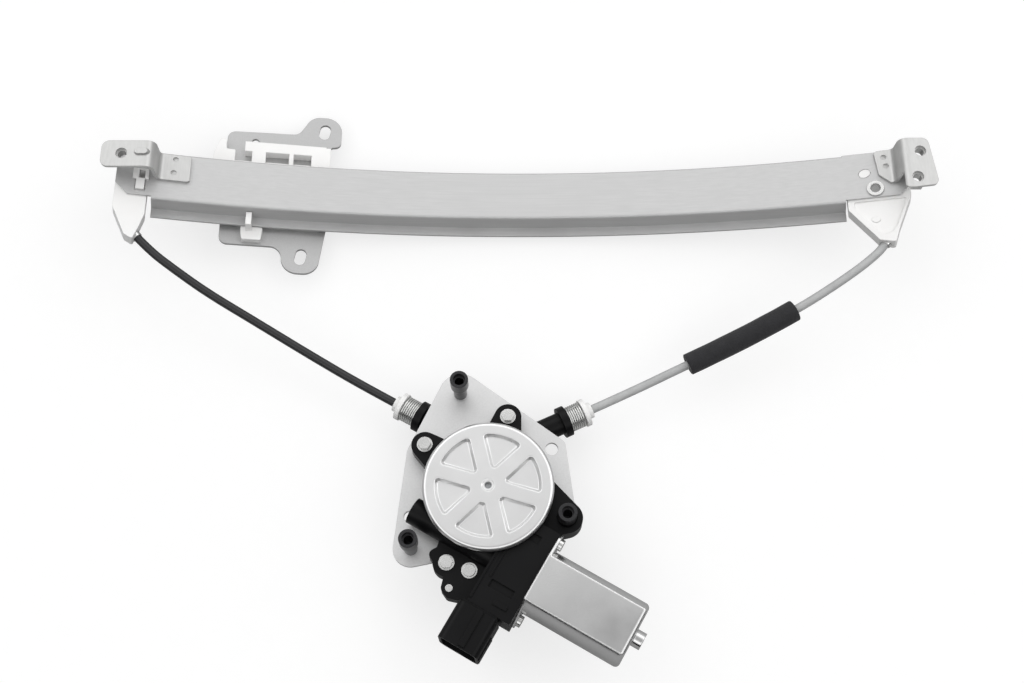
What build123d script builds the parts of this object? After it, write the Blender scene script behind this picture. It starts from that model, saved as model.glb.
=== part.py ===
from build123d import *
import os
from math import acos, atan2, cos, degrees, pi, radians, sin, sqrt, tan

# A single-rail cable window regulator with its geared motor, lying on its back.
# The origin is on the cable drum's axis, on the back of the drum housing.
# +X runs along the rail, +Y from the motor to the rail, +Z from the glass side to the cabin side.
# All sizes are in millimetres.

os.makedirs("parts", exist_ok=True)

running_gap = 0.05        # radial, shafts in their bushes
loose_gap = 0.4           # between parts that pass each other without touching
hole_play = 0.2           # radial, pins and screws in clearance holes

# Guide rail: a hat section bent round an axis parallel to Y
rail_radius = 923.0       # of the face, to the bend axis
rail_x = 17.0             # lowest point of the bend
rail_y = 189.75           # middle of the face
face_width = 31.5
rail_depth = 13.5
rail_sheet = 1.4
rail_bend = 1.8           # outer radius of the folds
flange_width = 5.6
wall_left = -216.7        # arc lengths on the face, from its lowest point
wall_right = 192.9
tongue_left = -237.6
tongue_right = 231.1
tongue_relief = 2.0       # the tongues' lower edge stands back by this much
tongue_corner = 7.0

# Mounting brackets at the rail's ends, stations along the rail and places in plan
pad_height = 55.0         # top of both pads
bracket_sheet = 1.8
bracket_bend = 4.2        # radius of the folds, in the middle of the sheet
left_foot = (-214.6, -196.0)
left_pad_end = -224.6
left_strip = (rail_y - 3.15, rail_y + 13.75)
right_foot = (211.0, 222.6)
right_pad_end = 257.0
pad_hole_radius = 3.3
left_hole = (-212.8, rail_y + 5.45)
right_holes = ((248.3, rail_y + 6.85), (245.2, rail_y - 9.85))
nut_across = 10.0
nut_height = 5.0
thread_radius = 2.5       # minor radius of the M6 threads
clinch_radius = 1.6
clinch_depth = 0.9

# Cable and its guides
wire_radius = 0.9
wire_height = 7.0         # above the flanges' underside
groove_floor = 0.3        # between the cable and the bottom of its groove
conduit_radius = 2.5
guide_thickness = 9.0
groove_width = 2.6
left_guide_at = -227.5    # stations where the guides lie flat against the tongues
right_guide_at = 212.0
left_mouth = (-4.2, -37.25)   # where the conduit enters, outward from the station and up from the rail's middle
left_heading = 45.0       # of the conduit into its guide, from the rail's outward direction
right_mouth = (1.4, -40.45)
right_heading = 56.0
entry_straight = 3.0
socket_depth = 5.5
ferrule_wall = 0.6
ferrule_length = 7.5
hook_height = 1.3         # of the left guide's hook above the tongue
hook_lift = 0.1           # under the hook, for the tongue's curve
hook_slot = (1.0, 6.8, -10.95, 2.25)     # in the left tongue, inward from the station and up from the middle
rivet_at = (-1.8, -8.25)  # right guide's rivet, and the boss that stops it turning
rivet_radius = 4.9
rivet_tube = 3.4
rivet_bore = 2.9
rivet_head = 0.8
boss_at = (-7.1, 2.25)
boss_size = (3.4, 2.6)
boss_tilt = 20.0

# Cable drum and its housing, below the motor plate
drum_pitch_radius = 24.8
drum_radius = 26.2
drum_low = 5.4
drum_wall = 3.0
drum_headroom = 2.6       # under the motor plate
housing_radius = 30.0
housing_height = 20.0
housing_wall = 2.5
outlet_height = 10.0      # of both cable outlets
left_outlet_angle = 151.1
right_outlet_angle = 24.9
neck_radius = 6.4
neck_bore = 4.6
outlet_flange_radius = 8.9
outlet_flange_thickness = 4.2
outlet_reach = 60.0       # from the tangent point on the drum to the flange's face
outlet_start = 13.0       # where each outlet's neck and cable begin, beside the drum
spring_length = 9.3

# Motor plate and standoffs
plate_thickness = 2.0
standoffs = ((-16.3, 59.4), (41.9, -14.6), (-41.6, -28.6))
standoff_height = 23.5
standoff_radius = 5.0
standoff_neck = 3.7
plate_corners = (
    (-16.3, 59.4, 12.0), (38.3, 29.0, 4.0), (41.0, -14.6, 7.0),
    (-41.6, -28.6, 9.8), (-36.5, 24.0, 9.0),
)

# Gear case, above the motor plate
case_radius = 34.3
case_floor = 2.6
case_height = 20.8        # from the plate to the cover
case_wall = 2.4
ear_height = 9.0
ear_radius = 7.4
ear_circle = 44.0         # radius on which the housing screws stand
ear_angles = (76.4, 142.6, 240.1)
cover_radius = 35.0
cover_thickness = 3.4
hub_height = 4.1          # of the shaft's bearing under the cover

# Worm drive
wheel_teeth = 48
gear_module = 1.0
worm_pitch_radius = 4.8
worm_above_plate = 9.0
wheel_width = 8.0
shaft_angle = -30.0       # of the motor axis in plan
backlash = 0.26           # each side of a tooth, along the pitch line
armature_shaft_radius = 2.5

# Motor can: a round tube pressed to two flats
can_radius = 18.2
can_thickness = 25.5
can_wall = 1.5
can_start = 45.8          # along the motor axis from the point nearest the drum axis
can_end = 103.9
can_ear_span = 21.5

# Glass carrier
carrier_at = -145.0       # station of the carrier at rest
carrier_sheet = 2.0
carrier_left = -33.0      # its left edge, from its station
carrier_drop = 3.4        # from the flanges' underside to the carrier's front
slot_radius = 3.3
slot_length = 10.4
slot_tilt = 80.0

drum_high = housing_height - drum_headroom
plate_low = housing_height
plate_high = plate_low + plate_thickness
case_top = plate_high + case_height
worm_height = plate_high + worm_above_plate
wheel_pitch_radius = gear_module * wheel_teeth / 2
centre_distance = wheel_pitch_radius + worm_pitch_radius
axis_height = rail_depth + rail_radius
ferrule_radius = conduit_radius + ferrule_wall
guide_top = rail_depth - rail_sheet
rail_axis = Axis((rail_x, 0, axis_height), (0, -1, 0))
face_low = rail_y - face_width / 2
face_high = rail_y + face_width / 2


# Places along the rail
def rail_point(s, y, n):
    """Point at arc length s, at Y, at height n above the flanges' underside."""
    turn = s / rail_radius
    reach = axis_height - n
    return (rail_x + reach * sin(turn), y, axis_height - reach * cos(turn))


def rail_section(s):
    """Cross-section at s. Its x is Y and its y is the height above the flanges' underside."""
    turn = s / rail_radius
    return Plane(origin=rail_point(s, 0, 0), x_dir=(0, 1, 0), z_dir=(cos(turn), 0, sin(turn)))


def rail_flat(s, n):
    """Plane along the rail at s. Its x runs along the rail, its y is up from the rail's middle."""
    turn = s / rail_radius
    return Plane(
        origin=rail_point(s, rail_y, n), x_dir=(cos(turn), 0, sin(turn)), z_dir=(-sin(turn), 0, cos(turn))
    )


def rail_turn(length):
    return degrees(length / rail_radius)


def guide_plane(at, side, n):
    """Plane along the rail at a guide's station. Its x runs outward, to the nearer end of the rail."""
    turn = at / rail_radius
    return Plane(
        origin=rail_point(at, rail_y, n), x_dir=(side * cos(turn), 0, side * sin(turn)),
        z_dir=(-side * sin(turn), 0, side * cos(turn)),
    )


# Places along the motor axis: t from the point nearest the drum axis, across and up from the axis
along_motor = Vector(cos(radians(shaft_angle)), sin(radians(shaft_angle)), 0)
across_motor = Vector(-sin(radians(shaft_angle)), cos(radians(shaft_angle)), 0)
motor_foot = across_motor * -centre_distance + Vector(0, 0, worm_height)


def motor_section(t):
    """Cross-section of the motor at t. Its x runs away from the drum axis, its y is up."""
    return Plane(origin=motor_foot + along_motor * t, x_dir=across_motor * -1, z_dir=along_motor * -1)


def motor_plan(height):
    """Level plane whose x runs along the motor axis and whose y runs towards the drum axis."""
    origin = across_motor * -centre_distance + Vector(0, 0, height)
    return Plane(origin=origin, x_dir=along_motor, z_dir=(0, 0, 1))


def outlet_section(angle, side, reach):
    """Cross-section of a cable outlet, on the tangent to the drum that leaves at the angle."""
    out = Vector(cos(radians(angle)), sin(radians(angle)), 0)
    foot = Vector(-out.Y, out.X, 0) * (side * drum_pitch_radius)
    return Plane(origin=foot + out * reach + Vector(0, 0, outlet_height), x_dir=(0, 0, 1), z_dir=out)


outlets = {"left": (left_outlet_angle, -1), "right": (right_outlet_angle, 1)}


# Sketch shorthands
def span(x0, x1, y0, y1, mode=Mode.ADD):
    """Rectangle given by its sides."""
    with Locations(((x0 + x1) / 2, (y0 + y1) / 2)):
        Rectangle(x1 - x0, y1 - y0, mode=mode)


def outline(*corners):
    """Closed outline through (x, y, corner radius)."""
    points = [(x, y) for x, y, r in corners]
    return FilletPolyline(*points, radius=[r for x, y, r in corners], close=True)


def spot(x, y, radius, mode=Mode.ADD):
    with Locations((x, y)):
        Circle(radius, mode=mode)


def polar(radius, angle):
    return (radius * cos(radians(angle)), radius * sin(radians(angle)))


ear_places = [polar(ear_circle, angle) for angle in ear_angles]


# Guide rail
with BuildPart() as guide_rail:
    with BuildSketch(rail_section(wall_left)):
        span(face_low, face_high, 0, rail_depth)
        span(face_low - flange_width, face_high + flange_width, 0, rail_sheet)
        span(face_low + rail_sheet, face_high - rail_sheet, 0, rail_depth - rail_sheet, Mode.SUBTRACT)
        fillet(vertices().group_by(Axis.Y)[-1], rail_bend)
        fillet(vertices().group_by(Axis.Y)[0].sort_by(Axis.X)[1:3], rail_bend)
    revolve(axis=rail_axis, revolution_arc=rail_turn(wall_right - wall_left))
    for start, end in ((tongue_left, wall_left), (wall_right, tongue_right)):
        with BuildSketch(rail_section(start)):
            span(face_low + tongue_relief, face_high, rail_depth - rail_sheet, rail_depth)
        revolve(axis=rail_axis, revolution_arc=rail_turn(end - start))
    for end, side in ((tongue_left, 1), (tongue_right, -1)):
        x_end = rail_point(end, 0, rail_depth)[0]
        low = face_low + tongue_relief
        with BuildSketch():
            with BuildLine():
                Polyline(
                    (x_end - side, low - 1), (x_end + side * tongue_corner, low - 1),
                    (x_end + side * tongue_corner, low), (x_end, low + tongue_corner),
                    (x_end - side, low + tongue_corner), close=True,
                )
            make_face()
        extrude(amount=pad_height, mode=Mode.SUBTRACT)
    hook_in, hook_out, hook_low, hook_high = hook_slot
    with BuildSketch(guide_plane(left_guide_at, -1, 2 * rail_depth)):
        span(-hook_out, -hook_in, hook_low, hook_high)
    extrude(amount=2 * rail_depth, mode=Mode.SUBTRACT)
    with BuildSketch(guide_plane(right_guide_at, 1, 2 * rail_depth)):
        spot(*rivet_at, rivet_tube)
        with Locations(boss_at):
            Ellipse(boss_size[0] + hole_play, boss_size[1] + hole_play, rotation=boss_tilt)
    extrude(amount=-2 * rail_depth, mode=Mode.SUBTRACT)
guide_rail.part.label = "guide_rail"
export_step(guide_rail.part, "parts/guide_rail.step")


# Mounting brackets: Z-shaped strips clinched to the rail, with level pads
pad_middle = pad_height - bracket_sheet / 2


def foot_point(s):
    """Middle of a bracket's sheet where it lies on the rail's face at s, as (X, Z)."""
    x, y, z = rail_point(s, 0, rail_depth + bracket_sheet / 2)
    return (x, z)


def clinch(places):
    """Round dimples where a foot is clinched to the rail."""
    for s, y in places:
        with Locations(rail_point(s, y, rail_depth + bracket_sheet)):
            Hole(clinch_radius, depth=clinch_depth)


left_low, left_high = left_strip
left_riser = foot_point(left_foot[0])[0] + bracket_sheet / 3
left_fold = min(bracket_bend, 0.45 * (pad_middle - foot_point(left_foot[0])[1]))
bead_length = 9.4
bead_width = 5.6
bead_height = 1.3
bead_setback = 6.3        # from the riser to the bead's middle
with BuildPart() as left_bracket:
    with BuildSketch(Plane.XZ.offset(-left_high)):
        with BuildLine():
            FilletPolyline(
                (left_pad_end, pad_middle), (left_riser, pad_middle),
                foot_point(left_foot[0]), foot_point(left_foot[1]),
                radius=[left_fold, left_fold],
            )
        trace(line_width=bracket_sheet)
    extrude(amount=left_high - left_low)
    with BuildSketch():
        with BuildLine():
            foot_end = foot_point(left_foot[1])[0] + bracket_sheet
            outline(
                (left_pad_end, left_low, 4.5), (foot_end, left_low, 4.0),
                (foot_end, left_high, 4.0), (left_pad_end, left_high, 4.5),
            )
        make_face()
    extrude(amount=pad_height + bracket_sheet, mode=Mode.INTERSECT)
    with BuildSketch(Plane.XY.offset(pad_middle)):
        with Locations((left_riser - bead_setback, left_hole[1] + 0.8)):
            SlotOverall(bead_length, bead_width)
    extrude(amount=bracket_sheet / 2 + bead_height, taper=25)
    with Locations((*left_hole, pad_height)):
        Hole(pad_hole_radius, depth=2 * bracket_sheet)
    clinch(((-204.9, rail_y + 10.75), (-205.4, rail_y + 1.95)))
left_bracket.part.label = "left_bracket"
export_step(left_bracket.part, "parts/left_bracket.step")

right_riser = foot_point(right_foot[1])[0] + bracket_sheet / 3
right_fold = min(bracket_bend, 0.45 * (pad_middle - foot_point(right_foot[1])[1]))
right_low, right_high = rail_y - 17.35, rail_y + 15.45
riser_low = rail_y - 6.15
foot_low = rail_y - 0.25
with BuildPart() as right_bracket:
    with BuildSketch(Plane.XZ.offset(-right_high)):
        with BuildLine():
            FilletPolyline(
                foot_point(right_foot[0]), foot_point(right_foot[1]),
                (right_riser, pad_middle), (right_pad_end, pad_middle),
                radius=[right_fold, right_fold],
            )
        trace(line_width=bracket_sheet)
    extrude(amount=right_high - right_low)
    with BuildSketch():
        with BuildLine():
            foot_start = foot_point(right_foot[0])[0]
            pad_start = right_riser - bracket_sheet / 2
            outline(
                (foot_start, right_high, 2.0), (foot_start + 1.6, foot_low, 2.0),
                (foot_start + 7.8, riser_low, 2.0), (pad_start, riser_low, 0.5),
                (pad_start, right_low, 5.0), (right_pad_end, right_low + 2.6, 3.5),
                (right_pad_end - 3.6, right_high, 4.0),
            )
        make_face()
    extrude(amount=pad_height + bracket_sheet, mode=Mode.INTERSECT)
    with BuildSketch(Plane.XY.offset(pad_height - bracket_sheet)):
        span(foot_start, right_pad_end, right_low, riser_low)
    extrude(amount=-pad_height, mode=Mode.SUBTRACT)
    for x, y in right_holes:
        with Locations((x, y, pad_height)):
            Hole(pad_hole_radius, depth=2 * bracket_sheet)
    clinch(((216.6, rail_y + 10.75), (217.4, rail_y + 4.85)))
right_bracket.part.label = "right_bracket"
export_step(right_bracket.part, "parts/right_bracket.step")

with BuildPart() as weld_nuts:
    with BuildSketch(Plane.XY.offset(pad_height - bracket_sheet - nut_height)):
        with Locations(left_hole, *right_holes):
            RegularPolygon(nut_across / 2, 6, major_radius=False)
            Circle(thread_radius, mode=Mode.SUBTRACT)
    extrude(amount=nut_height)
weld_nuts.part.label = "weld_nuts"
export_step(weld_nuts.part, "parts/weld_nuts.step")


# Cable guides: acetal slides that turn the cable from its conduit to the rail
def guide_turn(mouth, heading):
    """Path of the cable through a guide: its conduit's end, the start, centre and radius of its arc."""
    step = (cos(radians(heading)), sin(radians(heading)))
    seat = (mouth[0] + socket_depth * step[0], mouth[1] + socket_depth * step[1])
    start = (seat[0] + entry_straight * step[0], seat[1] + entry_straight * step[1])
    radius = -start[1] / (1 + step[0])
    centre = (start[0] - radius * step[1], start[1] + radius * step[0])
    return step, seat, start, centre, radius


guides = {
    "left": (left_guide_at, -1, left_mouth, left_heading),
    "right": (right_guide_at, 1, right_mouth, right_heading),
}


def cut_cable_way(end):
    """Groove for the cable, open to the back, and the socket for the conduit."""
    at, side, mouth, heading = guides[end]
    step, seat, start, centre, radius = guide_turn(mouth, heading)
    groove_top = wire_height + wire_radius + groove_floor
    with BuildSketch(guide_plane(at, side, groove_top)) as groove:
        with BuildLine():
            Line(seat, start)
            CenterArc(centre, radius, heading - 90, 180 - heading)
            Line((centre[0], 0), (centre[0] - 2 * radius, 0))
        trace(line_width=groove_width)
    extrude(groove.sketch, amount=-side * guide_thickness, mode=Mode.SUBTRACT)
    base = guide_plane(at, side, wire_height)
    mouth_point = base.from_local_coords((mouth[0] - 3 * step[0], mouth[1] - 3 * step[1], 0))
    inward = base.from_local_coords((*seat, 0)) - mouth_point
    with BuildSketch(Plane(origin=mouth_point, z_dir=inward)) as socket:
        Circle(ferrule_radius)
    extrude(socket.sketch, amount=inward.length, mode=Mode.SUBTRACT)


hook_window = (-3.35, 1.85)    # opening through the hook, up from the rail's middle
with BuildPart() as left_cable_guide:
    with BuildSketch(guide_plane(left_guide_at, -1, guide_top)):
        with BuildLine():
            outline(
                (9.9, 8.25, 3.0), (10.3, -21.75, 8.0), (2.0, -39.15, 2.0), (-2.8, -41.75, 1.0),
                (-5.9, -33.15, 4.0), (-8.2, -25.25, 5.0), (-8.2, 8.25, 2.0),
            )
        make_face()
    extrude(amount=guide_thickness)
    with BuildSketch(guide_plane(left_guide_at, -1, guide_top)):
        span(loose_gap - hook_out, -hook_in - loose_gap, hook_low + loose_gap, hook_window[0])
    extrude(amount=-rail_sheet - hook_height)
    with BuildSketch(guide_plane(left_guide_at, -1, rail_depth + hook_height)):
        span(-8.4, 0.6, hook_window[0] - 0.4, hook_window[1] + 1)
    extrude(amount=hook_height - hook_lift)
    with BuildSketch(guide_plane(left_guide_at, -1, rail_depth + hook_height)):
        span(-6.3, -2.9, *hook_window)
    extrude(amount=guide_thickness + 2 * hook_height, mode=Mode.SUBTRACT)
    cut_cable_way("left")
left_cable_guide.part.label = "left_cable_guide"
export_step(left_cable_guide.part, "parts/left_cable_guide.step")

with BuildPart() as right_cable_guide:
    with BuildSketch(guide_plane(right_guide_at, 1, guide_top)):
        with BuildLine():
            outline(
                (17.4, 8.25, 3.0), (17.9, -13.75, 3.0), (9.7, -33.15, 8.0), (6.4, -42.85, 1.5),
                (-2.4, -40.75, 1.5), (-18.2, -20.05, 2.0), (-18.2, 8.25, 2.0),
            )
        make_face()
    extrude(amount=-guide_thickness)
    with BuildSketch(guide_plane(right_guide_at, 1, guide_top)):
        with BuildLine():
            outline(
                (15.4, -15.15, 1.0), (8.0, -32.75, 5.0), (5.6, -36.15, 1.0), (-0.6, -37.55, 1.0),
                (-14.6, -19.55, 2.0), (-14.6, -15.15, 1.0),
            )
        make_face()
    extrude(amount=-0.9, mode=Mode.SUBTRACT)
    with BuildSketch(guide_plane(right_guide_at, 1, guide_top - 1.0)):
        with Locations((-3.2, -27.35)):
            Ellipse(2.6, 1.8)
    extrude(amount=0.6)
    with BuildSketch(guide_plane(right_guide_at, 1, guide_top)):
        with Locations(boss_at):
            Ellipse(*boss_size, rotation=boss_tilt)
    extrude(amount=rail_sheet)
    cut_cable_way("right")
    with BuildSketch(guide_plane(right_guide_at, 1, guide_top)):
        spot(*rivet_at, rivet_tube)
    extrude(amount=-guide_thickness, mode=Mode.SUBTRACT)
right_cable_guide.part.label = "right_cable_guide"
export_step(right_cable_guide.part, "parts/right_cable_guide.step")

with BuildPart() as guide_rivet:
    with BuildSketch(guide_plane(right_guide_at, 1, rail_depth + 0.15)):
        spot(*rivet_at, rivet_radius)
        spot(*rivet_at, rivet_bore, Mode.SUBTRACT)
    extrude(amount=rivet_head)
    with BuildSketch(guide_plane(right_guide_at, 1, rail_depth + 0.15)):
        spot(*rivet_at, rivet_tube)
        spot(*rivet_at, rivet_bore, Mode.SUBTRACT)
    extrude(amount=-guide_thickness - rail_sheet - 0.15)
guide_rivet.part.label = "guide_rivet"
export_step(guide_rivet.part, "parts/guide_rivet.step")


# Lift cable along the rail: it runs round both guides into the conduits
with BuildPart() as lift_cable:
    ends = []
    for end in ("left", "right"):
        at, side, mouth, heading = guides[end]
        step, seat, start, centre, radius = guide_turn(mouth, heading)
        base = guide_plane(at, side, wire_height)
        ends.append(at + side * centre[0])
        tangent = base.from_local_coords((*start, 0)) - base.from_local_coords((*seat, 0))
        with BuildSketch(Plane(origin=base.from_local_coords((*start, 0)), z_dir=tangent)):
            Circle(wire_radius)
        revolve(axis=Axis(base.from_local_coords((*centre, 0)), base.z_dir), revolution_arc=180 - heading)
        with BuildSketch(Plane(origin=base.from_local_coords((*seat, 0)), z_dir=tangent)):
            Circle(wire_radius)
        extrude(amount=entry_straight)
    with BuildSketch(rail_section(ends[0] - wire_radius)):
        spot(rail_y, wire_height, wire_radius)
    revolve(axis=rail_axis, revolution_arc=rail_turn(ends[1] - ends[0] + 2 * wire_radius))
lift_cable.part.label = "lift_cable"
export_step(lift_cable.part, "parts/lift_cable.step")


# Conduits: straight runs joined by tangent arcs, from the spring caps to the guides
def smooth_route(points):
    """Arc radii that let each corner take 0.45 of its shorter run."""
    radii = []
    for before, here, after in zip(points, points[1:], points[2:]):
        run_in = Vector(*here) - Vector(*before)
        run_out = Vector(*after) - Vector(*here)
        half_turn = radians(run_in.get_angle(run_out)) / 2
        radii.append(0.45 * min(run_in.length, run_out.length) / tan(half_turn))
    return radii


def conduit_route(end, between):
    """Route from the outlet's axis to the seat in the guide."""
    angle, hand = outlets[end]
    cap_at = outlet_reach + spring_length
    first = [outlet_section(angle, hand, reach).origin for reach in (cap_at, cap_at + 29)]
    at, side, mouth, heading = guides[end]
    step, seat, start, centre, radius = guide_turn(mouth, heading)
    base = guide_plane(at, side, wire_height)
    last_run = 17.0 if end == "left" else 9.0
    before = base.from_local_coords((seat[0] - last_run * step[0], seat[1] - last_run * step[1], 0))
    last = [before, base.from_local_coords((*seat, 0))]
    return [tuple(point) for point in first] + between + [tuple(point) for point in last]


left_route = conduit_route("left", [
    (-105.8, 87.6, 13.4), (-135.4, 104.9, 18.2), (-163.2, 120.6, 23.6), (-183.0, 133.8, 28.2),
])
right_route = conduit_route("right", [
    (108.5, 77.7, 13.5), (143.5, 93.2, 19.5), (177.6, 110.6, 25.3), (196.4, 122.0, 28.4),
    (210.6, 131.5, 30.4), (220.5, 139.2, 31.0),
])
conduits = {"left_conduit": left_route, "right_conduit": right_route}
for name, route in conduits.items():
    radii = smooth_route(route)
    with BuildPart() as conduit:
        with BuildLine() as path:
            FilletPolyline(*route, radius=radii)
        with BuildSketch(Plane(origin=path.line @ 0, z_dir=path.line % 0)):
            Circle(conduit_radius)
        sweep(path=path.line)
    conduit.part.label = name
    export_step(conduit.part, f"parts/{name}.step")
    expected = pi * conduit_radius**2 * path.wire().length
    print(name, "length", round(path.wire().length, 1), "radii", [round(r) for r in radii])
    print(name, "volume over section times length", round(conduit.part.volume / expected, 5))


# Foam sleeve: a soft tube pushed over the right conduit against rattle
sleeve_radius = 6.3
sleeve_play = 0.3
sleeve_inset = (4.0, 2.0)      # from the conduit's corners before and after the sleeve
with BuildPart() as foam_sleeve:
    near, middle, far = (Vector(*point) for point in right_route[2:5])
    start = near + (middle - near).normalized() * sleeve_inset[0]
    finish = far + (middle - far).normalized() * sleeve_inset[1]
    with BuildLine() as path:
        FilletPolyline(start, middle, finish, radius=[smooth_route(right_route)[2]])
    with BuildSketch(Plane(origin=path.line @ 0, z_dir=path.line % 0)):
        Circle(sleeve_radius)
        Circle(conduit_radius + sleeve_play, mode=Mode.SUBTRACT)
    sweep(path=path.line)
foam_sleeve.part.label = "foam_sleeve"
export_step(foam_sleeve.part, "parts/foam_sleeve.step")

# Crimped ferrules that seat the conduits in their guides
with BuildPart() as conduit_ferrules:
    for end in ("left", "right"):
        at, side, mouth, heading = guides[end]
        step, seat, start, centre, radius = guide_turn(mouth, heading)
        base = guide_plane(at, side, wire_height)
        inner = base.from_local_coords((*seat, 0))
        outward = base.from_local_coords((*mouth, 0)) - inner
        with BuildSketch(Plane(origin=inner, z_dir=outward)):
            Circle(ferrule_radius)
            Circle(conduit_radius + running_gap, mode=Mode.SUBTRACT)
        extrude(amount=ferrule_length)
conduit_ferrules.part.label = "conduit_ferrules"
export_step(conduit_ferrules.part, "parts/conduit_ferrules.step")


# Drum housing: a moulded pot under the motor plate with two cable outlets
foot_boss = 6.0
foot_boss_height = 5.0
journal_radius = 3.0
journal_seat = 1.4
screw_boss_radius = 5.2
screw_boss_height = 9.0
screw_radius = 1.9
screw_depth = 6.5
with BuildPart() as drum_housing:
    with BuildSketch():
        Circle(housing_radius)
    extrude(amount=housing_height)
    with BuildSketch(Plane.XY.offset(housing_height)):
        for x, y in ear_places:
            spot(x, y, screw_boss_radius)
            with BuildSketch(mode=Mode.PRIVATE) as arm:
                with Locations(Location((x / 2, y / 2, 0), degrees(atan2(y, x)))):
                    Rectangle(ear_circle, 2 * screw_boss_radius)
            add(arm.sketch)
    extrude(amount=-screw_boss_height)
    for angle, hand in outlets.values():
        with BuildSketch(outlet_section(angle, hand, outlet_reach)):
            Circle(neck_radius)
        extrude(amount=outlet_start - outlet_reach)
        with BuildSketch(outlet_section(angle, hand, outlet_reach)):
            Circle(outlet_flange_radius)
        extrude(amount=-outlet_flange_thickness)
    with BuildSketch(Plane.XY.offset(housing_wall)):
        Circle(housing_radius - drum_wall)
    extrude(amount=housing_height, mode=Mode.SUBTRACT)
    with BuildSketch():
        Circle(foot_boss)
    extrude(amount=foot_boss_height)
    for angle, hand in outlets.values():
        with BuildSketch(outlet_section(angle, hand, outlet_reach)):
            Circle(neck_bore)
        extrude(amount=outlet_start / 2 - outlet_reach, mode=Mode.SUBTRACT)
    with Locations((0, 0, foot_boss_height)):
        Hole(journal_radius + running_gap, depth=foot_boss_height - journal_seat)
    with Locations(*[(x, y, housing_height) for x, y in ear_places]):
        Hole(screw_radius, depth=screw_depth)
drum_housing.part.label = "drum_housing"
export_step(drum_housing.part, "parts/drum_housing.step")


# Spring caps: they slide in the outlets on the conduits' ends and keep the cable tight
cap_radius = 8.0
cap_rim = 2.6
cap_hub_radius = 4.6
cap_hub = 3.0
cap_stem_radius = neck_bore - loose_gap
cap_stem = 16.0
cap_bore = conduit_radius + hole_play
cable_bore = 2.0
for end, (angle, hand) in outlets.items():
    with BuildPart() as cap:
        with BuildSketch(outlet_section(angle, hand, outlet_reach + spring_length)):
            Circle(cap_radius)
        extrude(amount=cap_rim)
        with BuildSketch(outlet_section(angle, hand, outlet_reach + spring_length + cap_rim)):
            Circle(cap_hub_radius)
        extrude(amount=cap_hub)
        with BuildSketch(outlet_section(angle, hand, outlet_reach + spring_length)):
            Circle(cap_stem_radius)
        extrude(amount=-cap_stem)
        with BuildSketch(outlet_section(angle, hand, outlet_reach + spring_length - hole_play)):
            Circle(cap_bore)
        extrude(amount=cap_rim + cap_hub + 1, mode=Mode.SUBTRACT)
        with BuildSketch(outlet_section(angle, hand, outlet_reach + spring_length)):
            Circle(cable_bore)
        extrude(amount=-cap_stem, mode=Mode.SUBTRACT)
    cap.part.label = f"{end}_spring_cap"
    export_step(cap.part, f"parts/{end}_spring_cap.step")

# Tension springs between the outlets' flanges and the caps
spring_wire = 0.5
spring_mean = 6.9
spring_turns = 7
spring_seat = 0.1         # between a spring's end and its seat
for end, (angle, hand) in outlets.items():
    with BuildPart() as spring:
        pitch = (spring_length - 2 * spring_wire - 2 * spring_seat) / spring_turns
        with BuildSketch(Plane.XZ):
            for turn in range(spring_turns + 1):
                spot(spring_mean, spring_seat + spring_wire + turn * pitch, spring_wire)
            span(
                spring_mean - spring_wire / 3, spring_mean + spring_wire / 3,
                spring_seat + spring_wire, spring_length - spring_seat - spring_wire,
            )
        revolve(axis=Axis.Z)
    seat = outlet_section(angle, hand, outlet_reach)
    placed = seat.location * spring.part
    placed.label = f"{end}_tension_spring"
    export_step(placed, f"parts/{end}_tension_spring.step")


# Cable in the outlets, from the drum's outer turns to the conduits' ends
outlet_grooves = {"left": 12.4, "right": 7.6}
with BuildPart() as outlet_cables:
    for end, (angle, hand) in outlets.items():
        cable_end = outlet_reach + spring_length - 0.1
        rise = outlet_grooves[end] - outlet_height
        start = outlet_section(angle, hand, outlet_start).origin
        finish = outlet_section(angle, hand, cable_end).origin
        start += Vector(0, 0, rise * (1 - outlet_start / cable_end))
        with BuildSketch(Plane(origin=start, z_dir=finish - start)):
            Circle(wire_radius)
        extrude(amount=(finish - start).length)
outlet_cables.part.label = "outlet_cables"
export_step(outlet_cables.part, "parts/outlet_cables.step")


# Cable drum with its grooves, the turns of cable on it, and the shaft that carries drum and wheel
shaft_radius = 5.0
shaft_shoulder = (foot_boss_height + 0.2, case_top - hub_height - 0.5)
shaft_ends = (journal_seat + 0.4, case_top - 0.3)
groove_heights = (outlet_grooves["right"], outlet_height, outlet_grooves["left"])
groove_radius = wire_radius + 0.1
with BuildPart() as cable_drum:
    with BuildSketch(Plane.XZ):
        span(shaft_radius, drum_radius, drum_low, drum_high)
        for height in groove_heights:
            spot(drum_pitch_radius, height, groove_radius, Mode.SUBTRACT)
            span(
                drum_pitch_radius, drum_radius + 1, height - groove_radius, height + groove_radius,
                Mode.SUBTRACT,
            )
        span(shaft_radius + 4, drum_pitch_radius - 4, drum_high - 4, drum_high + 1, Mode.SUBTRACT)
    revolve(axis=Axis.Z)
cable_drum.part.label = "cable_drum"
export_step(cable_drum.part, "parts/cable_drum.step")

with BuildPart() as drum_windings:
    with BuildSketch(Plane.XZ):
        for height in groove_heights:
            spot(drum_pitch_radius, height, wire_radius)
    revolve(axis=Axis.Z)
drum_windings.part.label = "drum_windings"
export_step(drum_windings.part, "parts/drum_windings.step")

with BuildPart() as output_shaft:
    with BuildSketch(Plane.XY.offset(shaft_ends[0])):
        Circle(journal_radius)
    extrude(amount=shaft_ends[1] - shaft_ends[0])
    with BuildSketch(Plane.XY.offset(shaft_shoulder[0])):
        Circle(shaft_radius)
    extrude(amount=shaft_shoulder[1] - shaft_shoulder[0])
output_shaft.part.label = "output_shaft"
export_step(output_shaft.part, "parts/output_shaft.step")


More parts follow.
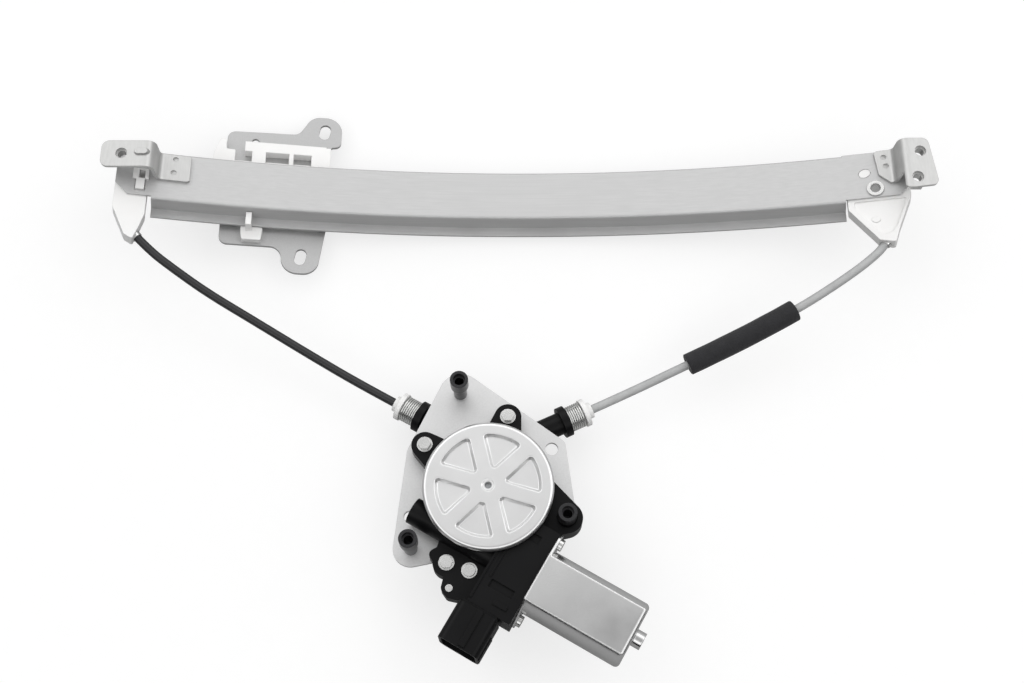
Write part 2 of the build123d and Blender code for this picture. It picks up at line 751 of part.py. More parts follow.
# Motor plate and its standoffs
shaft_hole = 9.0
plate_holes = ((34.5, 27.2, 3.5), (-42.9, -11.0, 3.0))
standoff_stub = 3.0
standoff_bore = 2.5
standoff_mouth = 3.3
standoff_mouth_depth = 4.0
collar_start = 12.0
collar_end = 16.5
with BuildPart() as motor_plate:
    with BuildSketch(Plane.XY.offset(plate_low)):
        for x, y, radius in plate_corners:
            spot(x, y, radius)
        make_hull()
        Circle(shaft_hole, mode=Mode.SUBTRACT)
        for x, y in ear_places:
            spot(x, y, screw_radius + loose_gap, Mode.SUBTRACT)
        for x, y in standoffs:
            spot(x, y, standoff_stub, Mode.SUBTRACT)
        for x, y, radius in plate_holes:
            spot(x, y, radius, Mode.SUBTRACT)
    extrude(amount=plate_thickness)
motor_plate.part.label = "motor_plate"
export_step(motor_plate.part, "parts/motor_plate.step")

with BuildPart() as standoff:
    with BuildSketch(Plane.XZ):
        with BuildLine():
            Polyline(
                (0, 0), (standoff_stub, 0), (standoff_stub, plate_thickness),
                (standoff_neck, plate_thickness), (standoff_neck, collar_start),
                (standoff_radius, collar_end), (standoff_radius, plate_thickness + standoff_height),
                (0, plate_thickness + standoff_height), close=True,
            )
        make_face()
    revolve(axis=Axis.Z)
    with Locations((0, 0, plate_thickness + standoff_height)):
        CounterBoreHole(
            standoff_bore, standoff_mouth, standoff_mouth_depth, depth=standoff_height - collar_start / 2
        )
with BuildPart() as plate_standoffs:
    with Locations(*[(x, y, plate_low) for x, y in standoffs]):
        add(standoff.part)
plate_standoffs.part.label = "plate_standoffs"
export_step(plate_standoffs.part, "parts/plate_standoffs.step")


# Gear case: wheel chamber, worm tunnel, motor block and skirt in one moulding
tunnel_radius = 7.3
tunnel_bore = 6.2
tunnel_ends = (-30.0, can_start)
block_start = 20.6
block_sides = (-28.2, 25.8)    # towards the drum axis from the motor axis
block_top = plate_high + 19.0
block_low = plate_low - 1.2    # beside the motor plate
block_lip = 1.3                # ridge along the block's end by the wheel chamber
rib_high = 0.8
recess_deep = 1.4
brush_chamber = (29.0, 15.6)
brush_chamber_start = can_start - 12.8
bore_ends = (-24.0, brush_chamber_start - 7)
bush_radius = 5.0
boss_beside_radius = 8.5       # round the right standoff
boss_beside_top = plate_high + 12.0
rivet_place = (-9.8, -42.4)
rivet_shank = 2.3
rivet_depth = 8.0
pin_place = (-20.4, -51.6)
pin_radius = 2.0
pin_depth = 7.0
can_screws_at = ((-can_ear_span, 7.0), (can_ear_span, -6.0))
can_screw_radius = 1.6
can_screw_depth = 9.0
chamber_radius = case_radius - case_wall - loose_gap
with BuildPart() as gear_case:
    with BuildSketch(Plane.XY.offset(plate_high)):
        Circle(case_radius)
    extrude(amount=case_height)
    for x, y in ear_places:
        with BuildSketch(Plane.XY.offset(plate_high)):
            spot(x, y, ear_radius)
            spot(x * 0.6, y * 0.6, ear_radius + 4)
            make_hull()
        extrude(amount=ear_height)
    with BuildSketch(Plane.XY.offset(plate_high)):
        spot(*standoffs[1], boss_beside_radius)
        spot(20, -8, 20)
        make_hull()
    extrude(amount=boss_beside_top - plate_high)
    with BuildSketch(motor_section(tunnel_ends[1])):
        Circle(tunnel_radius)
    extrude(amount=tunnel_ends[1] - tunnel_ends[0])
    with BuildSketch(motor_plan(plate_high)):
        span(tunnel_ends[0] + 1, tunnel_ends[1], -tunnel_bore + 1, tunnel_bore)
    extrude(amount=worm_above_plate)
    with BuildSketch(motor_plan(plate_high)):
        span(block_start, can_start, *block_sides)
    extrude(amount=block_top - plate_high)
    with BuildSketch(motor_plan(block_low)):
        span(block_start + 4, can_start, block_sides[0], -1)
    extrude(amount=plate_high - block_low)
    with BuildSketch(Plane.XY.offset(plate_high)):
        with BuildLine():
            outline(
                (-32.6, -32.8, 3.0), (-27.2, -40.2, 3.0), (-22.9, -43.5, 2.0), (-24.9, -51.9, 3.0),
                (-21.6, -56.6, 3.0), (-11.5, -58.8, 0.5), (10, -45, 1.0), (-10, -20, 1.0),
            )
        make_face()
    extrude(amount=ear_height)
    with BuildSketch(motor_plan(block_top)):
        span(block_start, block_start + block_lip, -26, 4)
        span(block_start + 3.8, block_start + 4.8, -11.5, 4)
        span(33, 41, -23.5, -21.0)
    extrude(amount=rib_high)
    with BuildSketch(motor_plan(block_top)):
        span(block_start + 5.8, 40, -16.5, -12.1)
        span(31.5, 38.0, 15.0, 19.5)
    extrude(amount=-recess_deep, mode=Mode.SUBTRACT)
    with BuildSketch(Plane.XY.offset(plate_high + case_floor)):
        Circle(chamber_radius)
    extrude(amount=case_height, mode=Mode.SUBTRACT)
    with BuildSketch(motor_section(bore_ends[1])):
        Circle(tunnel_bore)
    extrude(amount=bore_ends[1] - bore_ends[0], mode=Mode.SUBTRACT)
    with BuildSketch(motor_section(brush_chamber_start)):
        Circle(bush_radius)
    extrude(amount=brush_chamber_start - bore_ends[1], mode=Mode.SUBTRACT)
    with BuildSketch(motor_section(can_start)):
        RectangleRounded(*brush_chamber, 3)
    extrude(amount=can_start - brush_chamber_start, mode=Mode.SUBTRACT)
    with BuildSketch(motor_section(can_start)):
        for x, y in can_screws_at:
            spot(x, y, can_screw_radius)
    extrude(amount=can_screw_depth, mode=Mode.SUBTRACT)
    with Locations((0, 0, plate_high + case_floor)):
        Hole(shaft_radius + running_gap, depth=2 * case_floor)
    with BuildSketch(Plane.XY.offset(plate_high)):
        for x, y in ear_places:
            spot(x, y, screw_radius + hole_play)
        spot(*standoffs[1], standoff_neck + loose_gap)
    extrude(amount=case_height, mode=Mode.SUBTRACT)
    with Locations((*standoffs[1], boss_beside_top)):
        Hole(standoff_radius + loose_gap, depth=boss_beside_top - plate_low - collar_start + loose_gap)
    with Locations((*rivet_place, plate_high + ear_height)):
        Hole(rivet_shank, depth=rivet_depth)
    with Locations((*pin_place, plate_high + ear_height)):
        Hole(pin_radius, depth=pin_depth)
gear_case.part.label = "gear_case"
export_step(gear_case.part, "parts/gear_case.step")


# Gear cover: a disc with six pie-shaped recesses and a bearing for the shaft
pie_apex = 7.0
pie_arc = 28.3
pie_corner = 2.0
pie_depth = 1.3
pie_angle = 7.5
cover_edge = 1.4
hub_radius = 6.5
dimple_radius = 3.5
dimple_depth = 0.5
centre_hole = 1.9
pie_half = radians(30)
pie_side = sqrt(pie_arc**2 - (pie_apex * sin(pie_half)) ** 2) - pie_apex * cos(pie_half)
pie_end = (pie_apex + pie_side * cos(pie_half), pie_side * sin(pie_half))
with BuildSketch() as pie:
    with BuildLine():
        Line((pie_apex, 0), pie_end)
        ThreePointArc(pie_end, (pie_arc, 0), (pie_end[0], -pie_end[1]))
        Line((pie_end[0], -pie_end[1]), (pie_apex, 0))
    make_face()
    fillet(pie.vertices(), pie_corner)
with BuildPart() as gear_cover:
    with BuildSketch(Plane.XY.offset(case_top)):
        Circle(cover_radius)
    extrude(amount=cover_thickness)
    fillet(edges().group_by(Axis.Z)[-1], cover_edge)
    with BuildSketch(Plane.XY.offset(case_top)):
        Circle(hub_radius)
    extrude(amount=-hub_height)
    with BuildSketch(Plane.XY.offset(case_top + cover_thickness)):
        with PolarLocations(0, 6, start_angle=pie_angle):
            add(pie.sketch)
    extrude(amount=-pie_depth, mode=Mode.SUBTRACT)
    with BuildSketch(Plane.XY.offset(case_top + cover_thickness)):
        Circle(dimple_radius)
    extrude(amount=-dimple_depth, mode=Mode.SUBTRACT)
    with BuildSketch(Plane.XY.offset(case_top - hub_height)):
        Circle(journal_radius + running_gap)
    extrude(amount=hub_height, mode=Mode.SUBTRACT)
    with BuildSketch(Plane.XY.offset(case_top)):
        Circle(centre_hole)
    extrude(amount=cover_thickness, mode=Mode.SUBTRACT)
gear_cover.part.label = "gear_cover"
export_step(gear_cover.part, "parts/gear_cover.step")


# Fasteners of the gear case
head_radius = 4.3
head_flange = 1.0
hex_across = 6.4
hex_height = 2.4
screw_top = plate_high + ear_height
with BuildPart() as housing_screws:
    with BuildSketch(Plane.XY.offset(screw_top)):
        for x, y in ear_places:
            spot(x, y, head_radius)
    extrude(amount=head_flange)
    with BuildSketch(Plane.XY.offset(screw_top)):
        with Locations(*ear_places):
            RegularPolygon(hex_across / 2, 6, major_radius=False)
    extrude(amount=head_flange + hex_height)
    with BuildSketch(Plane.XY.offset(screw_top)):
        for x, y in ear_places:
            spot(x, y, screw_radius)
    extrude(amount=housing_height - screw_depth - screw_top)
housing_screws.part.label = "housing_screws"
export_step(housing_screws.part, "parts/housing_screws.step")

with BuildPart() as case_rivet:
    with BuildSketch(Plane.XY.offset(screw_top)):
        spot(*rivet_place, head_radius)
    extrude(amount=head_flange)
    with BuildSketch(Plane.XY.offset(screw_top)):
        spot(*rivet_place, head_radius - 1)
    extrude(amount=head_flange + 0.6)
    with BuildSketch(Plane.XY.offset(screw_top)):
        spot(*rivet_place, rivet_shank)
    extrude(amount=-rivet_depth)
case_rivet.part.label = "case_rivet"
export_step(case_rivet.part, "parts/case_rivet.step")

with BuildPart() as locating_pin:
    with BuildSketch(Plane.XY.offset(screw_top - pin_depth)):
        spot(*pin_place, pin_radius)
    extrude(amount=pin_depth + 0.5)
locating_pin.part.label = "locating_pin"
export_step(locating_pin.part, "parts/locating_pin.step")


# Worm wheel: involute gaps with backlash, slanted to the worm's lead angle, left-hand
pressure_angle = radians(20)
wheel_outer = wheel_pitch_radius + 0.9
wheel_root = wheel_pitch_radius - 1.3
wheel_low = worm_height - wheel_width / 2
lead = gear_module / (2 * worm_pitch_radius)
hub_outer = 8.0
web_depth = 1.8


def gap_half(radius):
    """Half the width of a tooth gap at a radius."""
    base = acos(wheel_pitch_radius * cos(pressure_angle) / radius)
    growth = tan(base) - base - tan(pressure_angle) + pressure_angle
    return radius * (pi / (2 * wheel_teeth) + backlash / wheel_pitch_radius + growth)


with BuildPart() as tooth_gap:
    radii = (wheel_root, wheel_pitch_radius, wheel_outer + 0.3)
    one_side = [(radius, gap_half(radius) + lead * (wheel_width / 2 + 1)) for radius in radii]
    other_side = [(radius, lead * (wheel_width / 2 + 1) - gap_half(radius)) for radius in radii[::-1]]
    with BuildSketch(Plane.XY.offset(wheel_low - 1)):
        with BuildLine():
            Polyline(*one_side, *other_side, close=True)
        make_face()
    extrude(amount=(wheel_width + 2) * sqrt(1 + lead**2), dir=(0, -lead, 1))
with BuildPart() as worm_wheel:
    with BuildSketch(Plane.XY.offset(wheel_low)):
        Circle(wheel_outer)
    extrude(amount=wheel_width)
    for face, depth in ((wheel_low, web_depth), (wheel_low + wheel_width, -web_depth)):
        with BuildSketch(Plane.XY.offset(face)):
            Circle(wheel_root - 3)
            Circle(hub_outer, mode=Mode.SUBTRACT)
        extrude(amount=depth, mode=Mode.SUBTRACT)
    with BuildSketch(Plane.XY.offset(plate_high + case_floor + loose_gap)):
        Circle(hub_outer)
    extrude(amount=shaft_shoulder[1] - plate_high - case_floor - loose_gap)
    with BuildSketch(Plane.XY.offset(plate_high)):
        Circle(shaft_radius)
    extrude(amount=case_height, mode=Mode.SUBTRACT)
    with PolarLocations(0, wheel_teeth):
        add(tooth_gap.part, mode=Mode.SUBTRACT)
worm_wheel.part.label = "worm_wheel"
export_step(worm_wheel.part, "parts/worm_wheel.step")


# Armature: shaft with the worm, laminated core, windings and commutator
worm_turns = 6
worm_outer = worm_pitch_radius + 1.0
worm_root = worm_pitch_radius - 1.25
worm_half = pi * gear_module / 4
slope = tan(pressure_angle)
shaft_span = (bore_ends[0] + 0.2, can_end + 3.5)
core_start = can_start + 7.2
core_length = 32.0
core_span = (core_start, core_start + core_length)
core_radius = 10.6
core_slots = 7
winding_radius = 9.6
winding_length = 4.0
commutator_span = (can_start - 7.8, can_start - 0.4)
commutator_radius = 5.5
with BuildPart() as thread:
    rise = pi * gear_module * worm_turns
    with BuildLine() as helix:
        Helix(pi * gear_module, rise, worm_root, center=(0, 0, -rise / 2), lefthand=True)
    with BuildSketch(Plane.XZ) as tooth:
        with BuildLine():
            Polyline(
                (worm_root - 0.1, worm_half + 1.25 * slope - rise / 2),
                (worm_outer, worm_half - slope - rise / 2),
                (worm_outer, slope - worm_half - rise / 2),
                (worm_root - 0.1, -worm_half - 1.25 * slope - rise / 2), close=True,
            )
        make_face()
    sweep(sections=tooth.sketch, path=helix.line, is_frenet=True)
motor_place = Plane(origin=motor_foot, x_dir=across_motor, z_dir=along_motor)
with BuildPart() as armature_shaft:
    with BuildSketch(motor_section(shaft_span[1])):
        Circle(armature_shaft_radius)
    extrude(amount=shaft_span[1] - shaft_span[0])
    with BuildSketch(motor_section(rise / 2 + 1)):
        Circle(worm_root)
    extrude(amount=rise + 2)
    add(motor_place.location * thread.part)
armature_shaft.part.label = "armature_shaft"
export_step(armature_shaft.part, "parts/armature_shaft.step")

with BuildPart() as armature_core:
    with BuildSketch(motor_section(core_span[1])):
        Circle(core_radius)
        Circle(armature_shaft_radius, mode=Mode.SUBTRACT)
        with PolarLocations(core_radius - 2, core_slots):
            Rectangle(5, 2.2, mode=Mode.SUBTRACT)
    extrude(amount=core_span[1] - core_span[0])
armature_core.part.label = "armature_core"
export_step(armature_core.part, "parts/armature_core.step")

with BuildPart() as armature_windings:
    for t in (core_span[1] + winding_length, core_span[0]):
        with BuildSketch(motor_section(t)):
            Circle(winding_radius)
            Circle(armature_shaft_radius, mode=Mode.SUBTRACT)
        extrude(amount=winding_length)
armature_windings.part.label = "armature_windings"
export_step(armature_windings.part, "parts/armature_windings.step")

with BuildPart() as commutator:
    with BuildSketch(motor_section(commutator_span[1])):
        Circle(commutator_radius)
        Circle(armature_shaft_radius, mode=Mode.SUBTRACT)
    extrude(amount=commutator_span[1] - commutator_span[0])
commutator.part.label = "commutator"
export_step(commutator.part, "parts/commutator.step")


# Bushes of the armature: end of the worm, gear case and motor can
can_boss_end = can_end + 5.1
can_boss_radius = 4.7
can_bearing_radius = 3.9
bushes = (
    (bore_ends[0] + 8, bore_ends[0] + 1, tunnel_bore), (brush_chamber_start, bore_ends[1], bush_radius),
    (can_boss_end - 2.2, can_end - can_wall, can_bearing_radius),
)
with BuildPart() as armature_bushes:
    for high, low, radius in bushes:
        with BuildSketch(motor_section(high)):
            Circle(radius)
            Circle(armature_shaft_radius + running_gap, mode=Mode.SUBTRACT)
        extrude(amount=high - low)
armature_bushes.part.label = "armature_bushes"
export_step(armature_bushes.part, "parts/armature_bushes.step")

# Brush card with its two brushes, in the motor block
card_span = (can_start - 2.6, can_start - 0.2)
brush_length = 3.8
with BuildPart() as brush_card:
    with BuildSketch(motor_section(card_span[1])):
        RectangleRounded(brush_chamber[0] - 2 * hole_play, brush_chamber[1] - 2 * hole_play, 3)
        Circle(commutator_radius + 0.7, mode=Mode.SUBTRACT)
    extrude(amount=card_span[1] - card_span[0])
brush_card.part.label = "brush_card"
export_step(brush_card.part, "parts/brush_card.step")

with BuildPart() as brushes:
    with BuildSketch(motor_section(card_span[0])):
        near, far = commutator_radius + loose_gap, brush_chamber[0] / 2 - 1.5
        span(near, far, -1.8, 1.8)
        span(-far, -near, -1.8, 1.8)
    extrude(amount=brush_length)
brushes.part.label = "brushes"
export_step(brushes.part, "parts/brushes.step")


# Motor can: deep-drawn shell with a flange and a bearing boss
can_flange = 1.5
can_ear_radius = 4.6
can_corner = 2.6          # round the far end
magnet_span = (can_start + 4.7, can_end - 5.9)
magnet_inner = 11.1
magnet_play = 0.1
with BuildPart() as motor_can:
    with BuildSketch(motor_section(can_end)):
        Circle(can_radius)
        Rectangle(2 * can_radius, can_thickness, mode=Mode.INTERSECT)
    extrude(amount=can_end - can_start)
    fillet(faces().sort_by(Axis(motor_foot, along_motor))[-1].edges(), can_corner)
    with BuildSketch(motor_section(can_boss_end)):
        Circle(can_boss_radius)
    extrude(amount=can_boss_end - can_end)
    with BuildSketch(motor_section(can_start + can_flange)):
        Circle(can_radius)
        Rectangle(2 * can_radius, can_thickness, mode=Mode.INTERSECT)
        for x, y in can_screws_at:
            spot(x, y, can_ear_radius)
        make_hull()
        for x, y in can_screws_at:
            spot(x, y, can_screw_radius + hole_play, Mode.SUBTRACT)
    extrude(amount=can_flange)
    with BuildSketch(motor_section(can_end - can_wall)):
        Circle(can_radius - can_wall)
        Rectangle(2 * can_radius, can_thickness - 2 * can_wall, mode=Mode.INTERSECT)
    extrude(amount=can_end - can_start, mode=Mode.SUBTRACT)
    with BuildSketch(motor_section(can_boss_end - can_wall / 2)):
        Circle(can_bearing_radius)
    extrude(amount=can_boss_end - can_end + can_wall, mode=Mode.SUBTRACT)
motor_can.part.label = "motor_can"
export_step(motor_can.part, "parts/motor_can.step")

with BuildPart() as magnets:
    with BuildSketch(motor_section(magnet_span[1])):
        Circle(can_radius - can_wall - magnet_play)
        Rectangle(2 * can_radius, can_thickness - 2 * can_wall - 2 * magnet_play, mode=Mode.INTERSECT)
        Circle(magnet_inner, mode=Mode.SUBTRACT)
        Rectangle(magnet_inner, can_thickness, mode=Mode.SUBTRACT)
    extrude(amount=magnet_span[1] - magnet_span[0])
magnets.part.label = "magnets"
export_step(magnets.part, "parts/magnets.step")

can_head_radius = 3.2
can_head_height = 2.2
with BuildPart() as can_screws:
    with BuildSketch(motor_section(can_start + can_flange + can_head_height)):
        for x, y in can_screws_at:
            spot(x, y, can_head_radius)
    extrude(amount=can_head_height)
    with BuildSketch(motor_section(can_start + can_flange)):
        for x, y in can_screws_at:
            spot(x, y, can_screw_radius)
    extrude(amount=can_flange + can_screw_depth)
can_screws.part.label = "can_screws"
export_step(can_screws.part, "parts/can_screws.step")


# Connector: a six-way socket on the motor block that opens away from the drum
socket_middle = (28.75, 31.25)     # along the motor axis, and height
socket_size = (23.4, 24.5)
socket_corner = 4.0
socket_wall = 1.7
socket_span = (28.2, 29.7, 51.2)   # neck, shell and mouth, away from the motor axis
socket_floor = 33.0
row_pitch = 6.3
blade_columns = (-3.0, 3.2)
blade_size = (0.8, 2.3)
blade_end = 43.4
bar_size = (6.9, 1.2)
bar_end = 43.0


def socket_section(reach):
    """Cross-section of the connector. Its x runs along the motor axis, its y is up."""
    middle, height = socket_middle
    origin = motor_foot + along_motor * middle - across_motor * reach
    return Plane(
        origin=origin + Vector(0, 0, height - worm_height), x_dir=along_motor, z_dir=across_motor * -1
    )


with BuildPart() as connector_housing:
    neck, shell, mouth = socket_span
    with BuildSketch(socket_section(neck)):
        Rectangle(socket_size[0] - 3, socket_size[1] - 5)
    extrude(amount=shell - neck)
    with BuildSketch(socket_section(shell)):
        RectangleRounded(*socket_size, socket_corner)
    extrude(amount=mouth - shell)
    with BuildSketch(socket_section(mouth)):
        RectangleRounded(
            socket_size[0] - 2 * socket_wall, socket_size[1] - 2 * socket_wall, socket_corner - socket_wall
        )
    extrude(amount=socket_floor - mouth, mode=Mode.SUBTRACT)
    with BuildSketch(socket_section(socket_floor)):
        with Locations((0, row_pitch / 2), (0, -row_pitch / 2)):
            Rectangle(*bar_size)
    extrude(amount=bar_end - socket_floor)
    with BuildSketch(socket_section(shell)):
        span(-0.2, 3.2, socket_size[1] / 2 - 0.4, socket_size[1] / 2 + 1.1)
    extrude(amount=mouth - shell - 1)
    with BuildSketch(socket_section(mouth)):
        span(socket_size[0] / 2 - 0.4, socket_size[0] / 2 + 0.7, -4.4, -0.9)
        span(socket_size[0] / 2 - 0.4, socket_size[0] / 2 + 0.7, 1.4, 4.4)
    extrude(amount=shell - mouth + 8)
connector_housing.part.label = "connector_housing"
export_step(connector_housing.part, "parts/connector_housing.step")

with BuildPart() as connector_terminals:
    with BuildSketch(socket_section(socket_floor)):
        with Locations(*[(x, row * row_pitch) for x in blade_columns for row in (-1, 0, 1)]):
            Rectangle(*blade_size)
    extrude(amount=blade_end - socket_floor)
connector_terminals.part.label = "connector_terminals"
export_step(connector_terminals.part, "parts/connector_terminals.step")


# Glass carrier: a flat plate with two slotted ears, places from its station and the rail's middle
slot_places = ((15.9, -37.45), (26.0, 49.6))
with BuildPart() as carrier_plate:
    with BuildSketch(rail_flat(carrier_at, -carrier_drop)):
        with BuildLine():
            outline(
                (carrier_left, -31.65, 5.0), (4.2, -31.65, 7.0), (4.5, -48.25, 10.0), (25.8, -48.25, 9.5),
                (30.0, -18.05, 8.0), (30.0, 38.85, 2.0), (36.4, 39.85, 4.0), (36.7, 59.95, 10.0),
                (18.0, 59.95, 9.0), (10.1, 46.45, 6.0), (carrier_left, 45.25, 5.0),
            )
        make_face()
        with Locations(*[Location((x, y, 0), slot_tilt) for x, y in slot_places]):
            SlotOverall(slot_length, 2 * slot_radius, mode=Mode.SUBTRACT)
        spot(-15.9, 38.75, 2.3, Mode.SUBTRACT)
    extrude(amount=-carrier_sheet)
carrier_plate.part.label = "carrier_plate"
export_step(carrier_plate.part, "parts/carrier_plate.step")

# Slider: it hooks round both flanges of the rail and takes the cable's nipple
slide_gap = 0.3
bed_top = 0.6             # of what lies between rail and carrier, above the flanges' underside
bar_top = 3.2
finger_top = 9.5
tongue_half = 3.6
tongue_reach = 11.0
tongue_top = 10.6
flange_reach = face_width / 2 + flange_width
bed_low = 2 - flange_reach
arm_high = flange_reach + 1.5
bar_low = 28.5
bar_high = 35.1
nipple_radius = 2.3
nipple_span = (-4.0, 4.0)
with BuildPart() as slider:
    floor = rail_flat(carrier_at, -carrier_drop)
    with BuildSketch(floor):
        span(-22.8, 25.8, bed_low, arm_high)
        span(-40.6, -22.0, arm_high - 4, arm_high)
        with BuildLine():
            outline(
                (-20.4, bed_low + 1, 0.5), (-20.2, -25.5, 1.5), (-19.4, -29.9, 1.0), (-8.2, -29.9, 1.0),
                (-7.4, -22.5, 1.5), (-10.6, bed_low + 1, 0.5),
            )
        make_face()
    extrude(amount=carrier_drop + bed_top)
    with BuildSketch(floor) as end_stop:
        with BuildLine():
            outline(
                (-40.6, arm_high - 4, 0.5), (-40.2, 27.0, 3.0), (-36.8, 37.6, 1.5), (-33.0, 37.6, 1.0),
                (-32.6, 30.6, 0.8), (-27.3, 30.3, 0.8), (-27.3, arm_high - 4, 0.5),
            )
        make_face()
    extrude(amount=carrier_drop + bed_top)
    with BuildSketch(floor):
        add(end_stop.sketch_local)
        span(-45.0, carrier_left - slide_gap, arm_high - 6, 40.0, Mode.INTERSECT)
    extrude(amount=-carrier_sheet)
    with BuildSketch(floor):
        span(-21.5, 27.6, bar_low, bar_high)
        span(-17.0, -8.7, flange_reach - 1.9, bar_low)
        span(5.3, 8.0, flange_reach - 1.9, bar_low)
        span(18.8, 30.4, flange_reach - 0.7, bar_high - 0.7)
    extrude(amount=carrier_drop + bar_top)
    with BuildSketch(floor):
        span(-17.2, -13.8, -flange_reach - 3.0, -face_width / 2 - 0.6)
    extrude(amount=carrier_drop + finger_top)
    with BuildSketch(floor):
        span(-tongue_reach, tongue_reach, -tongue_half, tongue_half)
    extrude(amount=carrier_drop + tongue_top)
    with BuildSketch(rail_section(carrier_at - 60)):
        for low, high in (
            (rail_y - flange_reach - slide_gap, face_low + rail_sheet + slide_gap),
            (face_high - rail_sheet - slide_gap, rail_y + flange_reach + slide_gap),
        ):
            span(low, high, -slide_gap, rail_sheet + slide_gap)
        spot(rail_y, wire_height, wire_radius + loose_gap)
    revolve(axis=rail_axis, revolution_arc=rail_turn(120), mode=Mode.SUBTRACT)
    with BuildSketch(rail_section(carrier_at + nipple_span[0])):
        spot(rail_y, wire_height, nipple_radius)
    revolve(axis=rail_axis, revolution_arc=rail_turn(nipple_span[1] - nipple_span[0]), mode=Mode.SUBTRACT)
slider.part.label = "slider"
export_step(slider.part, "parts/slider.step")

with BuildPart() as cable_nipple:
    with BuildSketch(rail_section(carrier_at + nipple_span[0])):
        spot(rail_y, wire_height, nipple_radius)
        spot(rail_y, wire_height, wire_radius + loose_gap, Mode.SUBTRACT)
    revolve(axis=rail_axis, revolution_arc=rail_turn(nipple_span[1] - nipple_span[0]))
cable_nipple.part.label = "cable_nipple"
export_step(cable_nipple.part, "parts/cable_nipple.step")
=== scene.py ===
import math

import bpy
import bmesh
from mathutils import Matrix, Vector, noise


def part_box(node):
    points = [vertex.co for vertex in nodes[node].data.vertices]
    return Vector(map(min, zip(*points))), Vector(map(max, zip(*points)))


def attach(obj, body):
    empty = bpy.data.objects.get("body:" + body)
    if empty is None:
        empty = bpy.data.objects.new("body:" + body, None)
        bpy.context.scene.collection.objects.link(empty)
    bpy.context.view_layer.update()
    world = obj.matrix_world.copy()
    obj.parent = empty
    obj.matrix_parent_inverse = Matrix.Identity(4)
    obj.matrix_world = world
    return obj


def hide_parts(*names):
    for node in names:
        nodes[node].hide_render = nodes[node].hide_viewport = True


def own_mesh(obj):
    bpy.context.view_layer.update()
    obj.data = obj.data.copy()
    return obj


# A power window regulator on a white table, photographed from above the motor's side.
# The CAD model gives every rigid piece its place and size.
# The pieces made here are the ones that bend, coil or have soft edges.
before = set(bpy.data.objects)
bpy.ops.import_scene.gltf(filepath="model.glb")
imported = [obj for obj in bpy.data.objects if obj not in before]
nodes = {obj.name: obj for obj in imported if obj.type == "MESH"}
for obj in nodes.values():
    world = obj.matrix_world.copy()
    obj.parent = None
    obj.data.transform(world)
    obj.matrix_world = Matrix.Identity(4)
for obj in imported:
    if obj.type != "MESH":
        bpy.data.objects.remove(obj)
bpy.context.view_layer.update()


# White table and soft studio light
# A sheet of pale card lies under the part and runs out of view on every side.
# A ring of white cloth hangs round it, dimmer overhead and near the floor. So flat metal stays grey,
# rounded edges gleam and the near sides darken. Two softboxes give the shadows.
def colour(code):
    """Linear RGBA of an sRGB hex value."""
    channels = [int(code[i : i + 2], 16) / 255 for i in (1, 3, 5)]
    return (*[c / 12.92 if c <= 0.04045 else ((c + 0.055) / 1.055) ** 2.4 for c in channels], 1.0)


def add_node(owner, kind, inputs=None, **settings):
    """Adds a shader node; each input takes a value, or a link from another node's socket."""
    node = owner.node_tree.nodes.new("ShaderNode" + kind)
    for name, value in settings.items():
        setattr(node, name, value)
    for name, value in (inputs or {}).items():
        if isinstance(value, bpy.types.NodeSocket):
            owner.node_tree.links.new(value, node.inputs[name])
        else:
            node.inputs[name].default_value = value
    return node


def new_material(name):
    """An empty material, with its output node."""
    material = bpy.data.materials.new(name)
    material.use_nodes = True
    material.node_tree.nodes.clear()
    return material, add_node(material, "OutputMaterial")


def pattern_scale(width):
    """Scale of a texture whose grains, lines or clouds are this many millimetres wide."""
    return 1000 / width


# The card glows a little, so that it photographs an even white and polished metal mirrors it dimly.
# Its fibres are drawn 1.1 mm wide, because real ones are too fine to show.
card, output = new_material("white_card")
seen = add_node(card, "LightPath")
heading = add_node(card, "SeparateXYZ", {0: add_node(card, "TexCoord").outputs["Object"]})
beyond = add_node(card, "MapRange", {"Value": heading.outputs["Y"], "From Min": -0.12, "From Max": 0.05,
                                     "To Min": 0.02, "To Max": 0.2})
mirrored = add_node(card, "Math", {0: seen.outputs["Is Glossy Ray"], 1: beyond.outputs[0]},
                    operation="MULTIPLY")
glow = add_node(card, "Math", {0: seen.outputs["Is Camera Ray"], 1: 0.70, 2: mirrored.outputs[0]},
                operation="MULTIPLY_ADD")
fibres = add_node(card, "TexNoise", {"Scale": pattern_scale(1.11), "Detail": 3.0})
paper = add_node(card, "MapRange", {"Value": fibres.outputs["Fac"], "To Min": 0.35, "To Max": 0.37})
matt = add_node(card, "BsdfDiffuse", {"Color": paper.outputs[0], "Roughness": 1.0})
lit = add_node(card, "Emission", {"Strength": glow.outputs[0]})
both = add_node(card, "AddShader", {0: matt.outputs[0], 1: lit.outputs[0]})
card.node_tree.links.new(both.outputs[0], output.inputs["Surface"])

# The table lies 6.2 mm under the housing's back, because the carrier dips that far midway along
# the rail.
table_height = -0.0062
table_side = 6
bpy.ops.mesh.primitive_plane_add(size=table_side, location=(0, 0, table_height))
table = bpy.context.object
table.name = "white_table"
table.data.materials.append(card)

